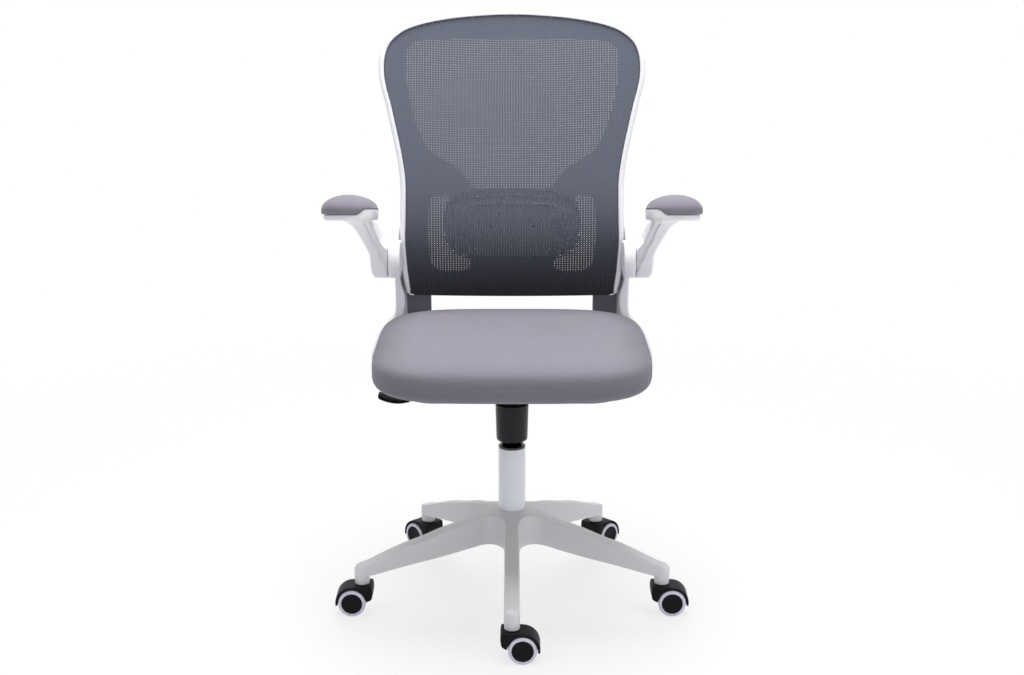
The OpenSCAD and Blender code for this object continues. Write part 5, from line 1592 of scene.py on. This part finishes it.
    def paint_flange_shade(self, piece: bpy.types.Object) -> None:
        """Gives the faces of the flange, which are the ones behind the back, a greyer finish: painted shade
        on the white bracket where it lies in the back's shadow.

        Args:
            piece: the bracket.
        """
        faces = piece.data.polygons
        centre = np.zeros(len(faces) * 3, np.float32)
        faces.foreach_get("center", centre)
        x, y, z = centre.reshape(-1, 3).T
        shade_faces = (np.abs(x) < self.flange_shade_in) & (y > self.flange_shade_from[0]) & (z > self.flange_shade_from[1])
        piece.data.materials.append(FLANGE_PAINTED_SHADE.material())
        faces.foreach_set("material_index", shade_faces.astype(np.int32))

    def build(self) -> None:
        """Both brackets."""
        patch = joined([self.sheet(), self.block(), self.flange()])
        for side, sign in SIDES.items():
            here = patch if sign > 0 else mirrored(patch)
            name, node = f"side_bracket_{side}", f"bracket_{side}"
            piece = add_piece(name, here, SHELL_WHITE, "seat", [node])
            self.paint_flange_shade(piece)
        dress_node("back_screws", STEEL)
        dress_node("arm_pins", STEEL)


@dataclass
class Armrest:
    """Arm that folds up about its pivot, with a tray and a padded top."""

    arm_in: float = 0.2308
    root_out: float = 0.262
    slope: float = 9.5
    hinge_y: float = -0.16
    tray_top: float = 0.748
    tray_t: float = 0.01
    pad_x: float = 0.28
    pad_y: float = -0.095
    pad_half_w: float = 0.046
    pad_front: float = 0.065
    pad_rear: float = 0.185
    tray_inset: float = 0.004
    pad_h: float = 0.034
    lip_h: float = 0.0105
    outer: Table = (
        (0.5795, 0.253), (0.5845, 0.2576), (0.5933, 0.2605), (0.6058, 0.262), (0.6299, 0.262),
        (0.6393, 0.2652), (0.6528, 0.2701), (0.6648, 0.2748), (0.6779, 0.2793), (0.6923, 0.2848),
        (0.7028, 0.2916), (0.7135, 0.2989), (0.7225, 0.308), (0.731, 0.3185), (0.75, 0.3185),
    )
    inner: Table = (
        (0.5795, 0.2308), (0.641, 0.2308), (0.651, 0.2379), (0.6558, 0.2415), (0.6717, 0.2459),
        (0.6914, 0.2508), (0.7, 0.2547), (0.713, 0.2547), (0.728, 0.249), (0.75, 0.247),
    )
    front_edge: Table = (
        (0.127, 0.5795), (0.108, 0.5845), (0.093, 0.602), (0.085, 0.622), (0.072, 0.645), (0.053, 0.667),
        (0.03, 0.688), (0.005, 0.7035), (-0.03, 0.7165), (-0.075, 0.727), (-0.131, 0.738),
    )
    rear_edge: Table = (
        (0.127, 0.5795), (0.15, 0.588), (0.1615, 0.614), (0.16, 0.632), (0.152, 0.65), (0.137, 0.666),
        (0.116, 0.68), (0.094, 0.694), (0.07, 0.7045), (0.0, 0.717), (-0.08, 0.731),
    )
    crease: Table = (
        (0.58, -1.3), (0.598, -0.75), (0.612, -0.46), (0.632, 0.03), (0.653, 0.0), (0.678, -0.18),
        (0.703, -0.36), (0.716, -0.7), (0.75, -1.0),
    )
    crease_deep: float = 0.0055
    edge_r: float = 0.006
    crease_w: float = 0.16
    corner_from: float = 0.66
    stations: int = 90
    tray_power: float = 2.7
    pad_power: float = 2.6
    side_power: float = 2.0
    under_power: float = 2.3
    waist: float = 0.0075
    low_drop: float = 0.0072
    seam_gap: float = 0.0003
    lip_across: tuple[float, float] = (0.034, 0.0165)
    lip_rear: tuple[float, float] = (-0.03, -0.006)
    cage: int = 45
    pressure: float = 0.8
    cap: float = 0.0015
    sim_frames: int = 14

    def stem(self) -> Patch:
        """Bracket from the pivot forward and up to the tray.

        Each station joins a place on the front edge to one on the rear edge. Across it, a runs
        from -1 inside to 1 outside, and b from -1 in front to 1 behind, over a rounded square.
        The widths at each height come from the front view. The part of the front face inside the
        crease is set back.

        Returns:
            The patch.
        """
        front = even_line(smooth_line(self.front_edge, 8), self.stations)
        rear = even_line(smooth_line(self.rear_edge, 8), self.stations)
        depth = np.maximum(np.linalg.norm(front - rear, axis=1), 1e-4)
        corners = np.split(rounded(SQUARE, 1 - self.corner_from, 14), 4)
        side = np.linspace(-0.62, 0.62, 25)
        whole = np.ones(len(side))
        runs = ((side, -whole), (whole, side), (-side, whole), (-whole, -side))
        sides = [np.stack(run, axis=1) for run in runs]
        ring = np.vstack([part for pair in zip(corners, sides) for part in pair])
        a, b = ring[:, 0][None], ring[:, 1][None]
        span = (self.root_out - self.arm_in) / 2
        a = self.tight(a, self.edge_r / span)
        b = self.tight(b, (2 * self.edge_r / depth)[:, None])
        share = (b + 1) / 2
        y = front[:, 0:1] * (1 - share) + rear[:, 0:1] * share
        z = front[:, 1:2] * (1 - share) + rear[:, 1:2] * share
        out, inn, line = (np.array(t) for t in (self.outer, self.inner, self.crease))
        fold = np.interp(z, line[:, 0], line[:, 1])
        back = self.crease_deep * step_up(fold - a, 0.0, self.crease_w) * (1 - share) ** 2
        ahead = (rear - front) / depth[:, None]
        y = y + back * ahead[:, 0:1]
        z = z + back * ahead[:, 1:2]
        wide = (a + 1) / 2
        x = np.interp(z, inn[:, 0], inn[:, 1]) * (1 - wide) + np.interp(z, out[:, 0], out[:, 1]) * wide
        return loft(np.stack([x, y, z], axis=-1))

    def tight(self, v: Array, share: float | Array) -> Array:
        """Squeezes the rounded part of a unit square's side into a share of its half.

        Args:
            v: places from -1 to 1 across the stem.
            share: share of half the stem that its edge takes up.

        Returns:
            The new places.
        """
        share = np.clip(share, 0.02, 0.9)
        size = np.abs(v)
        flat = np.minimum(size, self.corner_from) / self.corner_from * (1 - share)
        bend = np.clip(size - self.corner_from, 0, None) / (1 - self.corner_from) * share
        return np.sign(v) * (flat + bend)

    def sloped(self, points: Array) -> Array:
        """Points turned about the tray's front edge by the slope, so that the rear sinks.

        Args:
            points: points of the level tray or pad.

        Returns:
            The turned points.
        """
        angle = math.radians(self.slope)
        c, s = math.cos(angle), math.sin(angle)
        hinge = np.array([0.0, self.hinge_y, self.tray_top])
        return (points - hinge) @ np.array([[1, 0, 0], [0, c, s], [0, -s, c]]).T + hinge

    def lip(self, x: Array, y: Array) -> Array:
        """Height of the tray's raised inner lip: one smooth step across it times one at its rear end."""
        start, end = (self.pad_x - inward for inward in self.lip_across)
        return self.lip_h * (1 - step_up(x, start, end)) * (1 - step_up(y, *self.lip_rear))

    def tray(self) -> Patch:
        """Tray under the pad, with the lip on its inner side.

        Returns:
            The patch.
        """
        plan = superellipse(1, 1, self.tray_power, 260)
        long = np.where(plan[:, 1] > 0, self.pad_rear, self.pad_front) - self.tray_inset
        plan = np.stack([plan[:, 0] * (self.pad_half_w - self.tray_inset / 2), plan[:, 1] * long], axis=1)
        plan = even_line(plan, 260, closed=True) + [self.pad_x - self.tray_inset / 2, self.pad_y]

        def raised(flat: Array, depth: Array) -> Array:
            """Lifts the upper face of the tray where the lip is.

            Args:
                flat: places on the flat form.
                depth: depths under its face.

            Returns:
                The points in space.
            """
            up = 1 - depth / self.tray_t
            high = self.tray_top - depth + up * self.lip(flat[:, 0], flat[:, 1])
            return self.sloped(np.column_stack([flat, high]))

        return plate([plan], raised, self.tray_t, 0.0034, 0.004, 6)

    def pad(self) -> Upholstery:
        """Form of the padded top."""
        top = self.tray_top
        return Upholstery(
            centre=(self.pad_x, self.pad_y), half_w=self.pad_half_w, front=self.pad_front, rear=self.pad_rear,
            plan_power=self.pad_power, rear_power=self.pad_power, side_powers=(self.side_power,) * 2,
            under_power=self.under_power, crown_z=top + self.pad_h, waist_z=top + self.waist,
            low_z=top + self.seam_gap, low_drop=self.low_drop, under_share=0.93, count=110,
        )

    def build(self) -> None:
        """Both arms; the pads are swelled by a cloth simulation."""
        form = self.pad()
        moved = form.swell(self.cage, self.pressure, self.cap, self.sim_frames)
        pad = form.patch(moved)
        over = self.lip(pad.points[:, 0], pad.points[:, 1]) + self.tray_top + self.seam_gap
        pad.points[:, 2] = np.maximum(pad.points[:, 2], over)
        pad.points = self.sloped(pad.points)
        arm = joined([self.stem(), self.tray()])
        for side, sign in SIDES.items():
            stem, top = [patch if sign > 0 else mirrored(patch) for patch in (arm, pad)]
            body = f"{side}_arm"
            add_piece(f"armrest_{side}", stem, SHELL_WHITE, body, [f"arm_{side}"])
            piece = add_piece(f"armrest_pad_{side}", top, PAD_CLOTH, body, [f"arm_pad_{side}"])


@dataclass
class Back:
    """Moulded shell with a stretched mesh and a sliding lumbar support.

    A flat place is (x, height), and its depth is the distance behind the mesh's front. The front
    lies at y = behind + lean d + turn (sqrt(d^2 + soft^2) - soft), where d is the height over
    the foremost line, and it is turned about an upright axis at the curve's radius in front.
    """

    low_z: float = 0.524
    height: float = 0.5405
    half_w: float = 0.252
    foremost_z: float = 0.64
    behind: float = 0.198
    curve_r: float = 0.9
    lean: float = 0.02
    turn: float = 0.27
    soft: float = 0.06
    bow: float = 0.006
    bow_share: float = 0.7
    panel_near: float = 0.015
    panel_t: float = 0.004
    slot_half: float = 0.0235
    slot_r: float = 0.0045
    cord_lift: float = 0.0002
    mesh_deep: float = 0.0005
    hem_r: float = 0.0009
    hem_deep: float = 0.0006
    hem_turn: float = 0.004
    eye_shares: Row = (0.288, 0.5, 0.288, 0.3, 0.288, 0.5, 0.288, 0.3)
    eye_thread: float = 0.4
    screw_x: Row = (-0.078, -0.04, 0.04, 0.078)
    ledge: float = 0.01
    cell_w: float = 0.0051
    cell_h: float = 0.0043
    eye_open: float = 0.64
    eye_pad: float = 1.6
    eye_closed: float = 0.34
    rim_shares: Table = (
        (0.79, 0.022), (0.806, 0.042), (0.819, 0.068), (0.83, 0.105), (0.835, 0.141), (0.843, 0.213),
        (0.842, 0.283), (0.838, 0.353), (0.842, 0.422), (0.86, 0.49), (0.889, 0.557), (0.921, 0.623),
        (0.954, 0.69), (0.979, 0.733), (0.997, 0.775), (1, 0.816), (0.99, 0.86), (0.952, 0.896),
        (0.885, 0.929), (0.817, 0.949), (0.722, 0.965), (0.595, 0.978), (0.365, 0.992), (0.16, 0.999),
        (0, 1),
    )
    mesh_shares: Table = (
        (0.77, 0.016), (0.776, 0.035), (0.782, 0.068), (0.79, 0.1), (0.796, 0.141), (0.804, 0.213),
        (0.8, 0.283), (0.798, 0.353), (0.8, 0.422), (0.82, 0.49), (0.848, 0.557), (0.88, 0.623),
        (0.914, 0.69), (0.94, 0.733), (0.957, 0.775), (0.96, 0.82), (0.945, 0.86), (0.905, 0.896),
        (0.815, 0.929), (0.7, 0.949), (0.545, 0.964), (0.4, 0.973), (0.27, 0.978), (0.12, 0.982),
        (0, 0.983),
    )
    window_shares: Table = (
        (0, 0.386), (0.2, 0.386), (0.285, 0.39), (0.325, 0.408), (0.4, 0.45), (0.52, 0.49), (0.62, 0.52),
        (0.675, 0.56), (0.722, 0.61), (0.76, 0.67), (0.79, 0.74), (0.805, 0.8), (0.806, 0.84), (0.79, 0.87),
        (0.74, 0.89), (0.66, 0.897), (0.5, 0.9), (0.25, 0.902), (0, 0.903),
    )
    side_shares: Table = (
        (0.62, 0.352), (0.56, 0.366), (0.47, 0.364), (0.5, 0.33), (0.515, 0.27), (0.5, 0.205),
        (0.44, 0.165), (0.34, 0.145), (0.31, 0.125), (0.34, 0.1), (0.45, 0.092), (0.55, 0.1), (0.615, 0.13),
        (0.63, 0.2), (0.63, 0.28),
    )
    rim_section: Table = (
        (0.0, 0, 0.020, 0), (0.0, 0, 0.012, 0), (0.0, 0, 0.005, 1), (0.04, 0, 0.001, 1),
        (0.16, 0, -0.0016, 1), (0.36, 0, -0.0031, 1), (0.6, 0, -0.0039, 1), (0.8, 0, -0.004, 1),
        (0.93, 0, -0.0034, 1), (1.0, 0, -0.0022, 1), (1.0, 0, 0.0, 1), (1.0, 0.0001, 0.0016, 0),
        (1.0, 0.0092, 0.0016, 0), (1.0, 0.0104, 0.003, 0), (1.0, 0.0112, 0.009, 0), (1.0, 0.013, 0.0138, 0),
        (1.0, 0.017, 0.0151, 0), (1.0, 0.017, 0.0189, 0), (1.0, 0.013, 0.0196, 0), (1.0, 0.0105, 0.0219, 0),
        (1.0, 0.008, 0.0238, 0), (1.0, 0.003, 0.024, 0), (0.5, 0, 0.024, 0), (0.14, 0, 0.0232, 0),
    )
    rim_low: float = 0.5255
    ledge_deep: float = 0.0018
    lumbar_z: float = 0.663
    lumbar_half_w: float = 0.128
    lumbar_half_h: float = 0.067
    lumbar_lift: float = 0.004
    pad_near: float = 0.0078
    pad_t: float = 0.0035
    rib_proud: float = 0.003
    rib_half: float = 0.003
    rib_reach: float = 0.085
    bar_half_w: float = 0.095
    bar_half_h: float = 0.013
    bar_gap: float = 0.002
    bar_t: float = 0.003
    post_r: float = 0.004
    post_front: float = 0.0108

    def at(self, flat: Array, depth: Array) -> Array:
        """Point in space of flat places at their depths.

        Args:
            flat: places (x, height).
            depth: depths behind the mesh's front.

        Returns:
            The points in space.
        """
        d = flat[:, 1] - self.foremost_z
        front = self.lean * d + self.turn * (np.hypot(d, self.soft) - self.soft)
        r = self.curve_r + front + depth
        y = self.behind - self.curve_r + np.sqrt(r**2 - flat[:, 0] ** 2)
        return np.column_stack([flat[:, 0], y, flat[:, 1]])

    def placed(self, shares: Sequence) -> Array:
        """Flat places of shares of half the width and of the height."""
        return np.asarray(shares) * [self.half_w, self.height] + [0, self.low_z]

    def outline(self, shares: Sequence, low: float) -> Array:
        """Whole outline from the bottom's middle round: a bowed bottom, then a curve through the shares.

        Args:
            shares: shares of half the width and of the height.
            low: height of the bottom's middle.

        Returns:
            The outline.
        """
        k = np.linspace(0, 1, 40, endpoint=False)
        reach = self.bow_share * self.half_w
        bottom = np.stack([reach * k, low + self.bow * k**2], axis=1)
        curve = smooth_line(np.vstack([[[reach, low + self.bow]], self.placed(shares)]), 9)
        half = np.vstack([bottom, curve])
        return np.vstack([half, (half[1:-1] * [-1, 1])[::-1]])

    def rim(self) -> Patch:
        """Rim, ledge and inner wall of the shell.

        A section point has a share of the way from the rim's outline to the mesh's, a distance
        further in, a depth, and whether the depth stands proud of the mesh: that part sinks to
        the ledge where the rim fades out along the bottom.

        Returns:
            The patch.
        """
        outer = self.outline(self.rim_shares, self.rim_low)
        mesh = self.outline(self.mesh_shares, self.low_z)
        wide = np.linalg.norm(outer - mesh, axis=1)
        proud = step_up(wide, 0.0025, 0.0065) * step_up(np.abs(mesh[:, 0]), 0.174, 0.19)
        proud = np.maximum(proud, step_up(mesh[:, 1], self.low_z + 0.03, self.low_z + 0.05))
        section = np.array(self.rim_section)
        inner = inset(mesh, 1.0) - mesh
        share, further = section[:, 0, None, None], section[:, 1, None, None]
        flat = outer[None] + share * (mesh - outer)[None] + further * inner[None]
        sunk = section[:, 3, None] * (1 - proud)[None]
        depth = section[:, 2, None] * (1 - sunk) + self.ledge_deep * sunk
        grid = self.at(flat.reshape(-1, 2), depth.ravel()).reshape(len(section), -1, 3)
        return grid_patch(np.concatenate([grid, grid[:1]]), around=True)

    def openings(self) -> list[Array]:
        """Outlines of the panel's window and of its two side openings.

        Returns:
            The three outlines.
        """
        half = smooth_line(self.placed(self.window_shares), 6)
        window = even_line(np.vstack([half, (half[1:-1] * [-1, 1])[::-1]]), 360, closed=True)
        side = even_line(smooth_line(self.placed(self.side_shares), 6, closed=True), 150, closed=True)
        return [window, side, side * [-1, 1]]

    def pad_plan(self) -> Array:
        """Outline of the lumbar pad."""
        middle = [0, self.lumbar_z + self.lumbar_lift]
        return superellipse(self.lumbar_half_w, self.lumbar_half_h, 3.2, 260) + middle

    def panel(self) -> Patch:
        """Panel behind the mesh, with its windows, screw slots and side openings.

        Returns:
            The patch.
        """
        edge = inset(self.outline(self.mesh_shares, self.low_z), self.ledge + 0.002)
        slots = []
        for x in self.screw_x:
            corners = SQUARE * [self.slot_r, self.slot_half]
            slots.append(even_line(rounded(corners + [x, self.lumbar_z], self.slot_r, 6), 60, closed=True))

        def set_back(flat: Array, depth: Array) -> Array:
            """Puts the panel behind the mesh."""
            return self.at(flat, depth + self.panel_near)

        holes = [*self.openings(), *slots]
        return plate([even_line(edge, 620, closed=True), *holes], set_back, self.panel_t, 0.0018, 0.009, 5)

    def weave(self) -> Patch:
        """Stretched mesh with an open eye in each cell.

        A flat lattice has a point at each half cell. A cell is the eight lattice points round an
        odd one, with eight points of an oval eye inside them. An eye looks wide where the panel
        has an opening, and the threads lie closer together elsewhere. Cells past the outline are
        dropped, and points past it are drawn back to it. Under the bottom edge the rows turn
        backwards round the shell.

        Returns:
            The patch, with its threads' places.
        """
        outline = inset(self.outline(self.mesh_shares, self.low_z), 0.0002)
        columns = 2 * int(round(2 * self.half_w / self.cell_w)) + 1
        wrap = 4
        rows = 2 * (int(self.height / self.cell_h) + wrap) + 1
        share = np.linspace(-1, 1, columns)
        rise = (np.arange(rows) - 2 * wrap) * self.cell_h / 2
        s, t = np.meshgrid(share, rise, indexing="ij")
        x = s * self.half_w
        reach = self.bow_share * self.half_w
        z = self.low_z + self.bow * np.clip(np.abs(x) / reach, 0, 1) ** 2 + np.maximum(t, 0)
        depth = np.maximum(-t, 0)
        i, j = np.meshgrid(np.arange(1, columns - 1, 2), np.arange(1, rows - 1, 2), indexing="ij")
        centre = np.stack([x[i, j], z[i, j]], axis=-1).reshape(-1, 2)
        under = t[i, j].ravel() < 0
        good = np.where(under, np.abs(centre[:, 0]) < 0.99 * reach, inside(centre, outline))
        i, j = i.ravel()[good], j.ravel()[good]
        round_i, round_j = np.array([-1, 0, 1, 1, 1, 0, -1, -1]), np.array([-1, -1, -1, 0, 1, 1, 1, 0])
        ring = (i[:, None] + round_i) * rows + (j[:, None] + round_j)
        flat = np.stack([x, z], axis=-1).reshape(-1, 2)
        away = ~inside(flat, outline) & (t.ravel() >= 0)
        used = np.zeros(len(flat), bool)
        used[ring.ravel()] = True
        pick = np.flatnonzero(away & used)
        flat[pick] = outline[nearest(flat[pick], outline)[0]]
        between = np.repeat(np.arange(columns) % 2, rows)
        lift = np.where(between == 0, -self.cord_lift, self.cord_lift) + self.mesh_deep
        space = self.at(flat, depth.ravel() + lift)
        middle = space[ring].mean(1)
        spots = centre[good]
        eye = np.where(inside(spots, self.pad_plan()), self.eye_pad, self.eye_closed)
        for opening in self.openings():
            eye = np.where(inside(spots, opening), self.eye_open, eye)
        eye_shares = eye[:, None] * np.array(self.eye_shares)
        eyes = middle[:, None] + (space[ring] - middle[:, None]) * eye_shares[..., None]
        count = len(flat)
        eye_index = count + np.arange(len(ring) * 8).reshape(-1, 8)
        quads = np.stack([ring, np.roll(ring, -1, 1), np.roll(eye_index, -1, 1), eye_index], axis=-1)
        quads = quads.reshape(-1, 4)
        points = np.vstack([space, eyes.reshape(-1, 3)])
        cloth_s = np.stack([s * self.half_w, t], axis=-1).reshape(-1, 2)
        cloth_middle = cloth_s[ring].mean(1)[:, None]
        eye_cloth = cloth_middle + (cloth_s[ring] - cloth_middle) * self.eye_thread
        used_all = np.unique(quads)
        renumber = np.full(len(points), -1)
        renumber[used_all] = np.arange(len(used_all))
        return Patch(points[used_all], renumber[quads], NO_TRIS,
                     np.vstack([cloth_s, eye_cloth.reshape(-1, 2)])[used_all])

    def hem(self) -> Patch:
        """Thin dark welt round the mesh's edge, where the mesh is tucked into the shell.

        Returns:
            The patch.
        """
        line = self.outline(self.mesh_shares, self.low_z)
        order = np.flatnonzero(line[:, 1] > self.low_z + 0.011)
        run = line[order]
        inner = (inset(line, 1.0) - line)[order]
        a = round_turn(10)
        flat = run[:, None] + inner[:, None] * (self.hem_r + self.hem_r * np.cos(a))[None, :, None]
        depth = np.broadcast_to(self.hem_deep + self.hem_r * np.sin(a), flat.shape[:2])
        space = self.at(flat.reshape(-1, 2), depth.ravel()).reshape(*flat.shape[:2], 3)
        along = np.broadcast_to(np.arange(len(run))[:, None] * self.hem_turn, flat.shape[:2])
        made = loft(space)
        ends = np.zeros((len(a) * 2 + 2, 2))
        made.cloth = np.vstack([np.stack([along, along], axis=-1).reshape(-1, 2), ends])
        return made

    def support(self) -> Patch:
        """Lumbar pad: a crowned plate with raised ribs across its top and down its ends.

        Returns:
            The patch.
        """
        ribs = []
        for k in range(2):
            x = np.linspace(-self.rib_reach, self.rib_reach, 40)
            rise = 0.039 + 0.0147 * k + 0.004 * (1 - (x / self.rib_reach) ** 2)
            ribs.append(np.stack([x, self.lumbar_z + rise], axis=1))
        for k in range(4):
            z = np.linspace(-0.052, 0.036 - 0.003 * k, 30)
            bend = 0.07 + 0.0115 * k + 0.008 * (1 - (z / 0.05) ** 2)
            ribs += [np.stack([sign * bend, self.lumbar_z + z], axis=1) for sign in (-1, 1)]
        near, thick, proud, half = self.pad_near, self.pad_t, self.rib_proud, self.rib_half

        def bowed(flat: Array, depth: Array) -> Array:
            """Puts the pad behind the mesh and lifts its front where a rib runs.

            Args:
                flat: places on the flat form.
                depth: depths under its face.

            Returns:
                The points in space.
            """
            gaps = [np.min(np.sum((rib[None] - flat[:, None]) ** 2, axis=2), axis=1) for rib in ribs]
            gap = np.min(gaps, axis=0)
            lift = proud * (1 - step_up(np.sqrt(gap), half * 0.5, half)) * (1 - depth / thick)
            return self.at(flat, depth + near - lift)

        return plate([self.pad_plan()], bowed, thick, 0.0018, 0.0022, 5)

    def slider(self) -> Patch:
        """Bar behind the panel that carries the pad, with its four bosses.

        Returns:
            The patch.
        """
        corners = SQUARE * [self.bar_half_w, self.bar_half_h]
        line = even_line(rounded(corners + [0, self.lumbar_z], 0.006, 6), 200, closed=True)
        near = self.panel_near + self.panel_t + self.bar_gap

        def behind(flat: Array, depth: Array) -> Array:
            """Puts the bar behind the panel."""
            return self.at(flat, depth + near)

        parts = [plate([line], behind, self.bar_t, 0.001, 0.01)]
        for x in self.screw_x:
            depths = np.array([self.post_front, near + 0.001])
            start, end = self.at(np.array([[x, self.lumbar_z]] * 2), depths)
            post = np.linspace(start, end, 3)
            post[:, 0] = x
            parts.append(tube(post, self.post_r, 20))
        return joined(parts)

    def build(self) -> None:
        """Shell, mesh, hem and lumbar support."""
        shell = joined([self.rim(), self.panel()])
        add_piece("back_frame", shell, SHELL_WHITE, "seat", ["back_shell"])
        mesh = add_piece("back_weave", self.weave(), MESH_CORDS, "seat", ["back_mesh"])
        hem = add_piece("back_hem", self.hem(), HEM_CORD, "seat", ["mesh_ring"])
        # The pad and bar take a grey paler than their own, as painted light.
        add_piece("lumbar_plate", self.support(), LUMBAR_PAINTED_LIGHT, "lumbar", ["lumbar_pad"])
        add_piece("lumbar_bar", self.slider(), LUMBAR_PAINTED_LIGHT, "lumbar", ["lumbar_slider"])
        dress_node("lumbar_screws", BLACK_STEEL)


def main() -> None:
    """Builds the chair and its studio."""
    logging.basicConfig(level=logging.INFO, format="%(message)s", stream=sys.stdout)
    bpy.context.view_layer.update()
    Studio().build()
    for part in (StarBase(), Casters(), GasLift(), TiltGear(), Seat(), SideBracket(), Armrest(), Back()):
        log.info("building %s", type(part).__name__)
        part.build()


if __name__ == "__main__":
    main()
